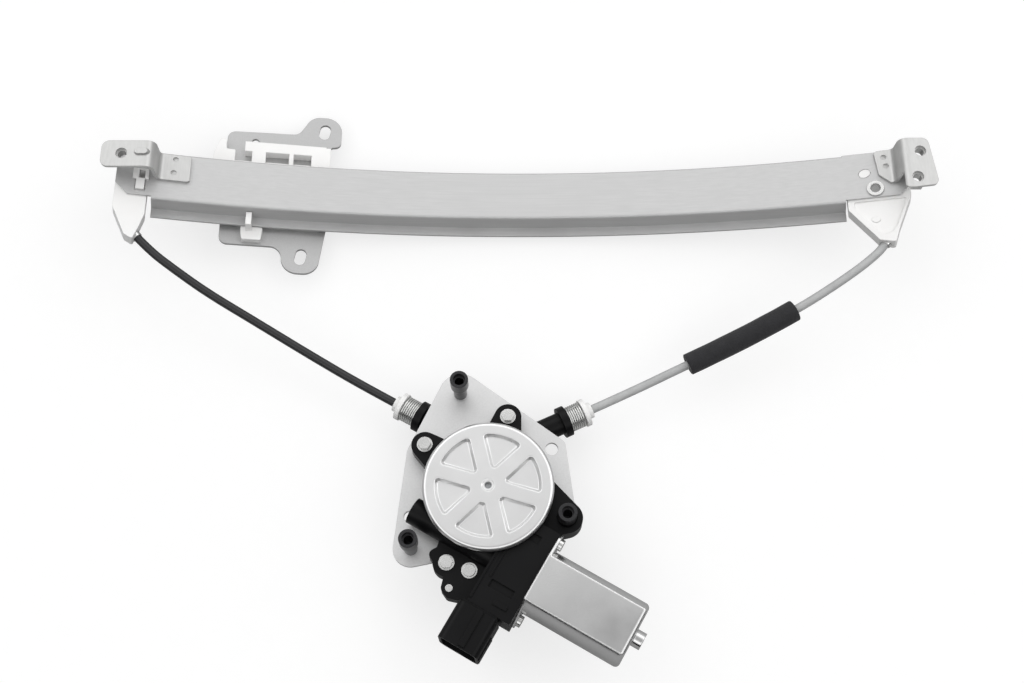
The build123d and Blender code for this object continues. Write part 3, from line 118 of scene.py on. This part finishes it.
sky = bpy.data.worlds.new("studio")
bpy.context.scene.world = sky
sky.use_nodes = True
sky.node_tree.nodes.clear()
seen = add_node(sky, "LightPath")
direct = add_node(sky, "Math", {0: seen.outputs["Is Camera Ray"], 1: seen.outputs["Is Transmission Ray"]},
                  operation="MAXIMUM")
heading = add_node(sky, "SeparateXYZ", {0: add_node(sky, "TexCoord").outputs["Generated"]})
floor_level = add_node(sky, "MapRange", {"Value": heading.outputs["Y"], "From Min": -0.5, "From Max": 0.8,
                                         "To Min": 0.0, "To Max": 0.6}, interpolation_type="SMOOTHSTEP")
rise = add_node(sky, "MapRange", {"Value": heading.outputs["Z"], "From Min": 0.36, "From Max": 0.64},
                interpolation_type="SMOOTHSTEP")
# A Mix node's inputs 2 and 3 are its two numbers, and 6 and 7 its two colours.
ring = add_node(sky, "Mix", {"Factor": rise.outputs[0], 2: floor_level.outputs[0], 3: 1.6})
overhead = add_node(sky, "MapRange", {"Value": heading.outputs["Z"], "From Min": 0.72, "From Max": 0.97,
                                      "To Min": 1.0, "To Max": 0.3}, interpolation_type="SMOOTHSTEP")
cloth = add_node(sky, "Math", {0: ring.outputs[0], 1: overhead.outputs[0]}, operation="MULTIPLY")
strength = add_node(sky, "Mix", {"Factor": direct.outputs[0], 2: cloth.outputs[0], 3: 1.0})
walls = add_node(sky, "Background", {"Color": (1, 1, 1, 1), "Strength": strength.outputs[0]})
add_node(sky, "OutputWorld", {"Surface": walls.outputs[0]})


def softbox(name, place, target, width, height, power):
    """A rectangular lamp aimed at a point."""
    lamp = bpy.data.lights.new(name, "AREA")
    lamp.shape = "RECTANGLE"
    lamp.size, lamp.size_y, lamp.energy = width, height, power
    holder = bpy.data.objects.new(name, lamp)
    bpy.context.collection.objects.link(holder)
    holder.location = place
    holder.rotation_euler = (Vector(target) - Vector(place)).to_track_quat("-Z", "Y").to_euler()


middle = (0.0126, 0.1, 0.0)        # where lamps and camera aim
softbox("softbox_above", (-0.2, 0.72, 1.25), middle, width=2.2, height=1.3, power=2.8)
softbox("softbox_side", (1.05, 0.3, 0.8), middle, width=0.6, height=1.1, power=1.5)
bpy.context.scene.view_settings.view_transform = "Standard"

# The camera looks down at the part from 22 degrees off the vertical, 765 mm away.
# Distance, tilt and lens were fitted together to the photo's perspective.
camera = bpy.data.objects.new("camera", bpy.data.cameras.new("camera"))
bpy.context.collection.objects.link(camera)
bpy.context.scene.camera = camera
tilt = math.radians(22)
distance = 0.765
focal_length = 45.7
sensor_width = 36.0
camera.location = (middle[0], middle[1] - distance * math.sin(tilt), distance * math.cos(tilt))
camera.rotation_euler = (tilt, 0, 0)
camera.data.sensor_width = sensor_width
camera.data.lens = focal_length
camera.data.clip_start = 0.01


# Cable conduits
# Steel-wire conduits with an extruded sheath, black on the left and grey on the right.
# Each runs from a spring cap on the drum housing to its guide at the rail's end.
def sheath_material(name, code, roughness):
    """Extruded polypropylene: cloudy patches of painted sheen and a soft gloss, over ripples drawn coarser
    than real.
    """
    sheath, output = new_material(name)
    # Lighter clouds of the sheath's own colour are painted sheen, scattered at random.
    painted_sheen = (*[min(1, c * 1.35 + 0.004) for c in colour(code)[:3]], 1)
    place = add_node(sheath, "TexCoord")
    cloudy = add_node(sheath, "TexNoise", {"Vector": place.outputs["Object"],
                                           "Scale": pattern_scale(6.25), "Detail": 3.0})
    tone = add_node(sheath, "Mix", {"Factor": cloudy.outputs["Fac"], 6: colour(code), 7: painted_sheen},
                    data_type="RGBA")
    gloss = add_node(sheath, "MapRange", {"Value": cloudy.outputs["Fac"],
                                          "To Min": roughness - 0.06, "To Max": roughness + 0.08})
    ripple = add_node(sheath, "TexNoise", {"Vector": place.outputs["Object"], "Scale": pattern_scale(1.43)})
    bump = add_node(sheath, "Bump", {"Height": ripple.outputs["Fac"], "Strength": 0.15, "Distance": 0.0002})
    shader = add_node(sheath, "BsdfPrincipled", {"Base Color": tone.outputs[2], "IOR": 1.5,
                                                 "Roughness": gloss.outputs[0], "Normal": bump.outputs[0]})
    sheath.node_tree.links.new(shader.outputs[0], output.inputs["Surface"])
    return sheath


def conduit_curve(name, route):
    """NURBS curve with the route's points as its control points."""
    line = bpy.data.curves.new(name, "CURVE")
    line.dimensions = "3D"
    line.resolution_u = 16
    spline = line.splines.new("NURBS")
    spline.points.add(len(route) - 1)
    for point, place in zip(spline.points, route):
        point.co = (*place, 1.0)
    spline.order_u = 3
    spline.use_endpoint_u = True
    piece = bpy.data.objects.new(name, line)
    bpy.context.collection.objects.link(piece)
    return piece


def line_points(piece):
    """Points along a curve that has no bevel yet."""
    mesh = bpy.data.meshes.new_from_object(piece)
    points = [vertex.co.copy() for vertex in mesh.vertices]
    bpy.data.meshes.remove(mesh)
    return points


left_route = (
    (-0.04868, 0.0552, 0.01), (-0.07407, 0.06922, 0.01), (-0.1058, 0.0876, 0.0134),
    (-0.1354, 0.1049, 0.0182), (-0.1632, 0.1206, 0.0236), (-0.183, 0.1338, 0.0282),
    (-0.19783, 0.14437, 0.03208), (-0.20949, 0.15639, 0.03502),
)
right_route = (
    (0.05242, 0.05167, 0.01), (0.07872, 0.06388, 0.01), (0.1085, 0.0777, 0.0135),
    (0.1435, 0.0932, 0.0195), (0.1776, 0.1106, 0.0253), (0.1964, 0.122, 0.0284),
    (0.2106, 0.1315, 0.0304), (0.2205, 0.1392, 0.031), (0.22808, 0.1464, 0.03128),
    (0.23298, 0.15386, 0.03243),
)
conduit_diameter = 0.005
left_sheath = conduit_curve("left_conduit_sheath", left_route)
right_sheath = conduit_curve("right_conduit_sheath", right_route)
right_line = line_points(right_sheath)
for sheath, material in (
    (left_sheath, sheath_material("black_polypropylene", "#1d1d1f", 0.36)),
    (right_sheath, sheath_material("grey_polypropylene", "#a3a4a4", 0.42)),
):
    sheath.data.bevel_depth = conduit_diameter / 2
    sheath.data.bevel_resolution = 6
    sheath.data.use_fill_caps = True
    sheath.data.materials.append(material)
    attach(sheath, "regulator")
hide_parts("left_conduit")
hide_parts("right_conduit")


# Foam sleeve
# A tube of closed-cell polyethylene foam pushed over the right conduit so it can't rattle.
# It is cut square with a knife, and its skin is dull with small pores.
sleeve_radius = 0.0063
sleeve_bore = 0.0028
sleeve_span = (0.1122, 0.1755)        # in X, where the photo shows its ends
edge = 0.0006            # rounding of the cut ends
corner = 0.3 * edge      # where the rounding comes nearest to the sharp corner
skin_steps = 60
skin_swell = 0.00012
skin_waves = 90.0        # to a metre of skin


def mesh_piece(name, mesh):
    """Scene object made from a finished bmesh."""
    data = bpy.data.meshes.new(name)
    mesh.to_mesh(data)
    mesh.free()
    piece = bpy.data.objects.new(name, data)
    bpy.context.collection.objects.link(piece)
    return piece


def tube_along(name, points, profile, sides):
    """Mesh of a closed profile of (place along 0..1, radius) pairs carried round a line."""
    lengths = [0.0]
    for a, b in zip(points, points[1:]):
        lengths.append(lengths[-1] + (b - a).length)
    mesh = bmesh.new()
    rings = []
    for share, radius in profile:
        reach = share * lengths[-1]
        i = max(1, min(len(points) - 1, next(k for k, v in enumerate(lengths) if v >= reach - 1e-9)))
        part = (reach - lengths[i - 1]) / (lengths[i] - lengths[i - 1])
        centre = points[i - 1].lerp(points[i], part)
        heading = (points[min(i + 1, len(points) - 1)] - points[i - 1]).normalized()
        side = heading.cross(Vector((0, 0, 1))).normalized()
        up = side.cross(heading)
        ring = []
        for k in range(sides):
            angle = 2 * math.pi * k / sides
            outward = side * math.cos(angle) + up * math.sin(angle)
            place = centre + outward * radius
            swell = skin_swell * noise.noise(place * skin_waves) if radius > sleeve_bore else 0.0
            ring.append(mesh.verts.new(place + outward * swell))
        rings.append(ring)
    for ring, following in zip(rings, rings[1:] + rings[:1]):
        for k in range(sides):
            mesh.faces.new((ring[k], ring[(k + 1) % sides], following[(k + 1) % sides], following[k]))
    bmesh.ops.recalc_face_normals(mesh, faces=mesh.faces)
    for face in mesh.faces:
        face.smooth = True
    return mesh_piece(name, mesh)


inside = [p for p in right_line if sleeve_span[0] <= p.x <= sleeve_span[1]]
run = sum((b - a).length for a, b in zip(inside, inside[1:]))
skin = [(edge / run + (1 - 2 * edge / run) * k / skin_steps, sleeve_radius) for k in range(skin_steps + 1)]
profile = (
    [(0.0, sleeve_bore), (0.0, sleeve_radius - 2 * edge), (0.0, sleeve_radius - edge),
     (corner / run, sleeve_radius - corner)] + skin
    + [(1 - corner / run, sleeve_radius - corner), (1.0, sleeve_radius - edge),
       (1.0, sleeve_radius - 2 * edge), (1.0, sleeve_bore)]
)
foam, output = new_material("polyethylene_foam")
place = add_node(foam, "TexCoord")
pores = add_node(foam, "TexVoronoi", {"Vector": place.outputs["Object"], "Scale": pattern_scale(0.667)})
clouds = add_node(foam, "TexNoise", {"Vector": place.outputs["Object"], "Scale": pattern_scale(4.55),
                                     "Detail": 4.0})
tone = add_node(foam, "Mix", {"Factor": clouds.outputs["Fac"], 6: colour("#1b1b1d"), 7: colour("#2b2b2e")},
                data_type="RGBA")
pits = add_node(foam, "Bump", {"Height": pores.outputs["Distance"], "Strength": 0.5, "Distance": 0.0003})
swell = add_node(foam, "Bump", {"Height": clouds.outputs["Fac"], "Strength": 0.4, "Distance": 0.0006,
                                "Normal": pits.outputs[0]})
shader = add_node(foam, "BsdfPrincipled", {"Base Color": tone.outputs[2], "Roughness": 0.85, "IOR": 1.45,
                                           "Sheen Weight": 0.15, "Normal": swell.outputs[0]})
foam.node_tree.links.new(shader.outputs[0], output.inputs["Surface"])
foam_tube = tube_along("foam_tube", inside, profile, 48)
foam_tube.data.materials.append(foam)
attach(foam_tube, "regulator")
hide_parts("foam_sleeve")


# Guide rail
# Cold-rolled strip, zinc plated, roll-formed to a hat section and curved to follow the glass.
# The rolls leave fine lines along it, drawn 1.1 mm wide so that they show, and the plating a soft
# satin that mirrors little.
def plated_steel(name, light, dark, roughness, stretch, grain, relief=0.06, rounding=0.0004, bare=1.0):
    """Zinc-plated steel: cloudy plating over a grain drawn coarser than real, and rounded edges."""
    steel, output = new_material(name)
    place = add_node(steel, "TexCoord")
    along = add_node(steel, "Mapping", {"Vector": place.outputs["Object"], "Scale": stretch})
    lines = add_node(steel, "TexNoise", {"Vector": along.outputs[0], "Scale": pattern_scale(grain),
                                         "Detail": 5.0})
    clouds = add_node(steel, "TexNoise", {"Vector": place.outputs["Object"], "Scale": pattern_scale(22.2),
                                          "Detail": 4.0})
    blotch = add_node(steel, "Math", {0: lines.outputs["Fac"], 1: clouds.outputs["Fac"]},
                      operation="MULTIPLY")
    spread = add_node(steel, "MapRange", {"Value": blotch.outputs[0], "From Min": 0.12, "From Max": 0.38})
    tone = add_node(steel, "Mix", {"Factor": spread.outputs[0], 6: colour(dark), 7: colour(light)},
                    data_type="RGBA")
    dull = add_node(steel, "MapRange", {"Value": clouds.outputs["Fac"], "From Min": 0.3, "From Max": 0.7,
                                        "To Min": roughness - 0.05, "To Max": roughness + 0.07})
    edges = add_node(steel, "Bevel", {"Radius": rounding}, samples=6)
    bump = add_node(steel, "Bump", {"Height": lines.outputs["Fac"], "Strength": relief, "Distance": 0.0002,
                                    "Normal": edges.outputs[0]})
    shader = add_node(steel, "BsdfPrincipled", {"Base Color": tone.outputs[2], "Metallic": bare,
                                                "Roughness": dull.outputs[0], "Normal": bump.outputs[0]})
    steel.node_tree.links.new(shader.outputs[0], output.inputs["Surface"])
    return steel


def dress(material, *names):
    """Gives CAD nodes their material."""
    for name in names:
        for place in nodes[name].material_slots:
            place.material = material


rolled_steel = plated_steel("rolled_zinc_steel", "#c9c9c9", "#c1c1c1", roughness=0.52,
                            stretch=(0.02, 1, 1), grain=1.11, bare=0.65)
dress(rolled_steel, "guide_rail")


# Mounting brackets and their weld nuts
# Blanked and folded from the same plated strip, then clinched to the rail's face.
# Their lines run square to the rail's, and they shine a little more.
pressed_steel = plated_steel("pressed_zinc_steel", "#c9c9c8", "#c0c0bf", roughness=0.4,
                             stretch=(1, 0.2, 1), grain=1.11, bare=0.8)
dress(pressed_steel, "left_bracket", "right_bracket", "weld_nuts")


# Cable guides, slider and spring caps
# Acetal mouldings in natural white, with a fine spark-eroded grain.
# Thin walls let a little light through, so their shadows stay soft.
def moulded_plastic(name, light, dark, roughness, grain, depth, glow, mirror):
    """Injection-moulded plastic: faint flow marks, and an eroded grain drawn coarser than real."""
    plastic, output = new_material(name)
    place = add_node(plastic, "TexCoord")
    flow = add_node(plastic, "TexNoise", {"Vector": place.outputs["Object"], "Scale": pattern_scale(16.7),
                                          "Detail": 2.0})
    tone = add_node(plastic, "Mix", {"Factor": flow.outputs["Fac"], 6: colour(dark), 7: colour(light)},
                    data_type="RGBA")
    dull = add_node(plastic, "MapRange", {"Value": flow.outputs["Fac"], "To Min": roughness - 0.05,
                                          "To Max": roughness + 0.05})
    sparks = add_node(plastic, "TexNoise", {"Vector": place.outputs["Object"],
                                            "Scale": pattern_scale(grain), "Detail": 1.0})
    edges = add_node(plastic, "Bevel", {"Radius": 0.0005}, samples=4)
    bump = add_node(plastic, "Bump", {"Height": sparks.outputs["Fac"], "Strength": depth, "Distance": 0.0002,
                                      "Normal": edges.outputs[0]})
    shader = add_node(plastic, "BsdfPrincipled", {"Base Color": tone.outputs[2], "IOR": 1.49,
                                                  "Roughness": dull.outputs[0], "Normal": bump.outputs[0],
                                                  "Specular IOR Level": mirror,
                                                  "Subsurface Weight": glow, "Subsurface Scale": 0.002,
                                                  "Subsurface Radius": (1.0, 1.0, 1.0)})
    plastic.node_tree.links.new(shader.outputs[0], output.inputs["Surface"])
    return plastic


acetal = moulded_plastic("natural_acetal", "#f5f5f4", "#ecebea", roughness=0.42, grain=0.385, depth=0.08,
                         glow=0.12, mirror=0.5)
dress(acetal, "left_cable_guide", "right_cable_guide", "slider", "left_spring_cap", "right_spring_cap",
      "cable_drum", "worm_wheel")


# Glass carrier
# A flat blanked plate of thicker plated steel, dull from the plating bath.
carrier_steel = plated_steel("carrier_zinc_steel", "#bcbcbc", "#b3b3b3", roughness=0.48,
                             stretch=(1, 1, 1), grain=0.667, bare=0.75)
dress(carrier_steel, "carrier_plate")


# Motor plate
# Blanked from plated sheet with a matt, slightly mottled face.
plate_steel = plated_steel("plate_zinc_steel", "#dedede", "#d6d6d6", roughness=0.44,
                           stretch=(1, 1, 1), grain=0.833, bare=0.85)
dress(plate_steel, "motor_plate")


# Standoffs
# Turned steel tubes in black phosphate, tapped inside and riveted to the plate.
# Phosphate is a dark crystal skin that holds a film of oil. Its crystals are drawn 0.6 mm wide, far
# coarser than real ones.
phosphate, output = new_material("black_phosphate")
place = add_node(phosphate, "TexCoord")
crystals = add_node(phosphate, "TexNoise", {"Vector": place.outputs["Object"],
                                            "Scale": pattern_scale(0.556), "Detail": 3.0})
tone = add_node(phosphate, "Mix", {"Factor": crystals.outputs["Fac"],
                                   6: colour("#1e1e1f"), 7: colour("#434345")}, data_type="RGBA")
edges = add_node(phosphate, "Bevel", {"Radius": 0.0005}, samples=6)
bump = add_node(phosphate, "Bump", {"Height": crystals.outputs["Fac"], "Strength": 0.2, "Distance": 0.0001,
                                    "Normal": edges.outputs[0]})
shader = add_node(phosphate, "BsdfPrincipled", {"Base Color": tone.outputs[2], "Metallic": 0.6,
                                                "Roughness": 0.28, "Normal": bump.outputs[0]})
phosphate.node_tree.links.new(shader.outputs[0], output.inputs["Surface"])
dress(phosphate, "plate_standoffs")


# Drum housing, gear case, connector and brush card
# Glass-filled polyester, moulded black, with a fine eroded grain and a dull gloss.
polyester = moulded_plastic("glass_filled_polyester", "#121213", "#0b0b0c", roughness=0.38, grain=0.455,
                            depth=0.2, glow=0.0, mirror=0.15)
dress(polyester, "drum_housing", "gear_case", "connector_housing", "brush_card")


# Gear cover
# A disc of aluminium sheet, stamped with six pie-shaped pockets and a dimple over the shaft.
# The stamping leaves wide soft edges round each pocket. The face is bead-blasted, and its grain is
# drawn 0.4 mm wide so that it shows.
cover_low, cover_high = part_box("gear_cover")
cover_top = cover_high.z
cover_radius = cover_high.x
cover_thickness = 0.0034
hub_radius = 0.0065
journal_bore = 0.00305
shaft_hole = 0.0019
dimple_radius = 0.0036
dimple_depth = 0.0006
dimple_slope = 0.001
pie_apex = 0.007
pie_arc = 0.0285
pie_corner = 0.0024
pie_slope = 0.0019
pie_depth = 0.0021
pie_turn = math.radians(13.5)


def ease(value):
    value = max(0.0, min(1.0, value))
    return value * value * (3 - 2 * value)


def pocket_depth(radius, angle):
    """Depth of the stamped pockets at a point of the disc."""
    sector = math.pi / 3
    folded = (angle - pie_turn + sector / 2) % sector - sector / 2
    x, y = radius * math.cos(folded), abs(radius * math.sin(folded))
    side = y * math.cos(sector / 2) - (x - pie_apex) * math.sin(sector / 2) + pie_corner
    arc = radius - pie_arc + pie_corner
    outside = math.hypot(max(side, 0), max(arc, 0)) + min(max(side, arc), 0) - pie_corner
    back, across = pie_apex + 2 * pie_corner - x, y
    if back > 0 and across < back * math.tan(math.radians(60)):
        outside = math.hypot(back, across) - pie_corner
    return pie_depth * ease(-outside / pie_slope)


cover_sides = 420
rounding = 0.0022
rounding_steps = 5
rim_step = 0.0006
ring_steps = 120
flat_span = cover_radius - rounding - shaft_hole
top_rings = [(shaft_hole + flat_span * k / ring_steps, None) for k in range(ring_steps + 1)]
rim = [(cover_radius - rounding + rounding * math.sin(a), cover_top - rounding + rounding * math.cos(a))
       for a in (math.pi / 2 * k / rounding_steps for k in range(1, rounding_steps + 1))]
cover_floor = cover_top - cover_thickness
under = [(cover_radius, cover_floor), (cover_radius - rim_step, cover_floor), (hub_radius, cover_floor),
         (hub_radius, cover_low.z), (journal_bore, cover_low.z), (journal_bore, cover_floor),
         (shaft_hole, cover_floor)]
mesh = bmesh.new()
rings = []
for radius, height in top_rings + rim + under:
    ring = []
    for k in range(cover_sides):
        angle = 2 * math.pi * k / cover_sides
        z = height
        if z is None:
            dimple = dimple_depth * ease((dimple_radius - radius) / dimple_slope)
            z = cover_top - pocket_depth(radius, angle) - dimple
        ring.append(mesh.verts.new((radius * math.cos(angle), radius * math.sin(angle), z)))
    rings.append(ring)
for ring, following in zip(rings, rings[1:] + rings[:1]):
    for k in range(cover_sides):
        after = (k + 1) % cover_sides
        mesh.faces.new((ring[k], ring[after], following[after], following[k]))
sharp_angle = math.radians(40)
bmesh.ops.recalc_face_normals(mesh, faces=mesh.faces)
for face in mesh.faces:
    face.smooth = True
for made in mesh.edges:
    made.smooth = made.calc_face_angle(0) < sharp_angle
stamped_cover = mesh_piece("stamped_cover", mesh)

blasted, output = new_material("blasted_aluminium")
place = add_node(blasted, "TexCoord")
clouds = add_node(blasted, "TexNoise", {"Vector": place.outputs["Object"], "Scale": pattern_scale(14.3),
                                        "Detail": 3.0})
shot = add_node(blasted, "TexNoise", {"Vector": place.outputs["Object"], "Scale": pattern_scale(0.417),
                                      "Detail": 2.0})
tone = add_node(blasted, "Mix", {"Factor": clouds.outputs["Fac"],
                                 6: colour("#dedede"), 7: colour("#e8e8e8")}, data_type="RGBA")
dull = add_node(blasted, "MapRange", {"Value": clouds.outputs["Fac"], "To Min": 0.25, "To Max": 0.33})
bump = add_node(blasted, "Bump", {"Height": shot.outputs["Fac"], "Strength": 0.14, "Distance": 0.0002})
shader = add_node(blasted, "BsdfPrincipled", {"Base Color": tone.outputs[2], "Metallic": 0.92,
                                              "Roughness": dull.outputs[0], "Normal": bump.outputs[0]})
blasted.node_tree.links.new(shader.outputs[0], output.inputs["Surface"])
stamped_cover.data.materials.append(blasted)
dress(blasted, "gear_cover")
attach(stamped_cover, "regulator")
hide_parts("gear_cover")


# Screws and rivets
# Zinc-plated thread-forming screws with hexagon washer heads, a rivet and a pin.
bright_zinc = plated_steel("bright_zinc", "#e6e6e5", "#cececd", roughness=0.22, stretch=(1, 1, 1),
                           grain=0.625, relief=0.05, rounding=0.0005)
dress(bright_zinc, "housing_screws", "can_screws", "guide_rivet", "case_rivet", "locating_pin",
      "conduit_ferrules", "cable_nipple")


# Motor can
# Deep-drawn steel tube, pressed to two flats and zinc plated.
# Drawing leaves faint streaks along the can, and its plating is the brightest on the part.
drawn_steel = plated_steel("drawn_zinc_steel", "#e0e0e0", "#d8d8d8", roughness=0.18, stretch=(1, 1, 1),
                           grain=0.556, relief=0.012, rounding=0.0014)
dress(drawn_steel, "motor_can")


# Tension springs
# Seven turns of bright spring wire, closed at both ends, between outlet flange and spring cap.
# They are built at one fixed length.
def coil_spring(name, start, heading, length, mean_radius, wire, turns):
    """Tube of round wire along a helix with closed end turns."""
    side = heading.cross(Vector((0, 0, 1))).normalized()
    up = side.cross(heading)
    mesh = bmesh.new()
    rings = []
    closed = 0.75        # of a turn lies flat at each end
    free = turns - 2 * closed
    steps_a_turn = 40
    steps = int(turns * steps_a_turn)
    facets = 10
    for k in range(steps + 1):
        turn = turns * k / steps
        body = min(max(turn - closed, 0.0), free) / free
        flat = wire * (min(turn, closed) + max(turn - turns + closed, 0.0))
        climb = wire / 2 + flat + body * (length - wire - 2 * closed * wire)
        angle = 2 * math.pi * turn
        outward = side * math.cos(angle) + up * math.sin(angle)
        centre = start + heading * climb + outward * mean_radius
        rings.append([
            mesh.verts.new(centre + (outward * math.cos(a) + heading * math.sin(a)) * wire / 2)
            for a in (2 * math.pi * j / facets for j in range(facets))
        ])
    for ring, following in zip(rings, rings[1:]):
        for j in range(facets):
            mesh.faces.new((ring[j], ring[(j + 1) % facets], following[(j + 1) % facets], following[j]))
    mesh.faces.new(rings[0][::-1])
    mesh.faces.new(rings[-1])
    bmesh.ops.recalc_face_normals(mesh, faces=mesh.faces)
    for face in mesh.faces:
        face.smooth = len(face.verts) == 4
    return mesh_piece(name, mesh)


spring_wire = plated_steel("bright_spring_wire", "#e6e6e4", "#d2d3d2", roughness=0.26,
                           stretch=(1, 1, 1), grain=0.455)
spring_length = 0.0093
spring_radius = 0.0069   # to the middle of the wire
spring_turns = 7.0
wire_thickness = 0.00098
# Each spring starts at its outlet's flange and runs at the outlet's angle, in degrees.
for end, place, angle in (
    ("left", (-0.0405425, 0.0507085, 0.01), 151.1),
    ("right", (0.043981, 0.0477568, 0.01), 24.9),
):
    heading = Vector((math.cos(math.radians(angle)), math.sin(math.radians(angle)), 0))
    coil = coil_spring(end + "_coil_spring", Vector(place), heading, spring_length, spring_radius,
                       wire_thickness, spring_turns)
    coil.data.materials.append(spring_wire)
    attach(coil, "regulator")
    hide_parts(end + "_tension_spring")
    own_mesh(coil)


# Lift cable
# Galvanised wire rope of 1.8 mm, greased. Its strands are drawn as slanting bands.
strand_spacing = 1.5        # in mm
rope, output = new_material("galvanised_wire_rope")
place = add_node(rope, "TexCoord")
# A diagonal wave turns through 10 radians for each unit of its scale.
strands = add_node(rope, "TexWave", {"Vector": place.outputs["Object"],
                                     "Scale": pattern_scale(strand_spacing) * 2 * math.pi / 10,
                                     "Distortion": 0.5}, bands_direction="DIAGONAL")
tone = add_node(rope, "Mix", {"Factor": strands.outputs["Fac"], 6: colour("#5a5a58"), 7: colour("#b0b0ac")},
                data_type="RGBA")
bump = add_node(rope, "Bump", {"Height": strands.outputs["Fac"], "Strength": 0.8, "Distance": 0.0003})
shader = add_node(rope, "BsdfPrincipled", {"Base Color": tone.outputs[2], "Metallic": 1.0, "Roughness": 0.36,
                                           "Normal": bump.outputs[0]})
rope.node_tree.links.new(shader.outputs[0], output.inputs["Surface"])
dress(rope, "lift_cable", "outlet_cables", "drum_windings")


# Pieces inside the motor and the gear case
# They show only with the case open: ground shafts, stacked laminations, copper, sintered bronze,
# pressed carbon, ferrite and tinned terminals. Their grains are drawn coarser than real ones.
for name, light, dark, metallic, roughness, grain, pieces in (
    ("ground_steel", "#b4b6b8", "#8f9193", 1.0, 0.22, 1.11, ("output_shaft", "armature_shaft")),
    ("varnished_laminations", "#5a5b5e", "#38393b", 0.8, 0.45, 0.5, ("armature_core",)),
    ("enamelled_copper", "#c07a4a", "#8c4a24", 0.9, 0.30, 0.667, ("armature_windings", "commutator")),
    ("sintered_bronze", "#a98a58", "#7d6138", 0.9, 0.48, 0.4, ("armature_bushes",)),
    ("pressed_carbon", "#2c2c2d", "#18181a", 0.1, 0.62, 0.4, ("brushes",)),
    ("ferrite", "#3d3d40", "#29292b", 0.2, 0.55, 0.556, ("magnets",)),
    ("tinned_brass", "#d8d0ae", "#b7aa80", 1.0, 0.26, 0.833, ("connector_terminals",)),
):
    stock, output = new_material(name)
    place = add_node(stock, "TexCoord")
    mottle = add_node(stock, "TexNoise", {"Vector": place.outputs["Object"], "Scale": pattern_scale(grain),
                                          "Detail": 3.0})
    tone = add_node(stock, "Mix", {"Factor": mottle.outputs["Fac"], 6: colour(dark), 7: colour(light)},
                    data_type="RGBA")
    edges = add_node(stock, "Bevel", {"Radius": 0.0002}, samples=4)
    bump = add_node(stock, "Bump", {"Height": mottle.outputs["Fac"], "Strength": 0.1, "Distance": 0.0001,
                                    "Normal": edges.outputs[0]})
    shader = add_node(stock, "BsdfPrincipled", {"Base Color": tone.outputs[2], "Metallic": metallic,
                                                "Roughness": roughness, "Normal": bump.outputs[0]})
    stock.node_tree.links.new(shader.outputs[0], output.inputs["Surface"])
    dress(stock, *pieces)
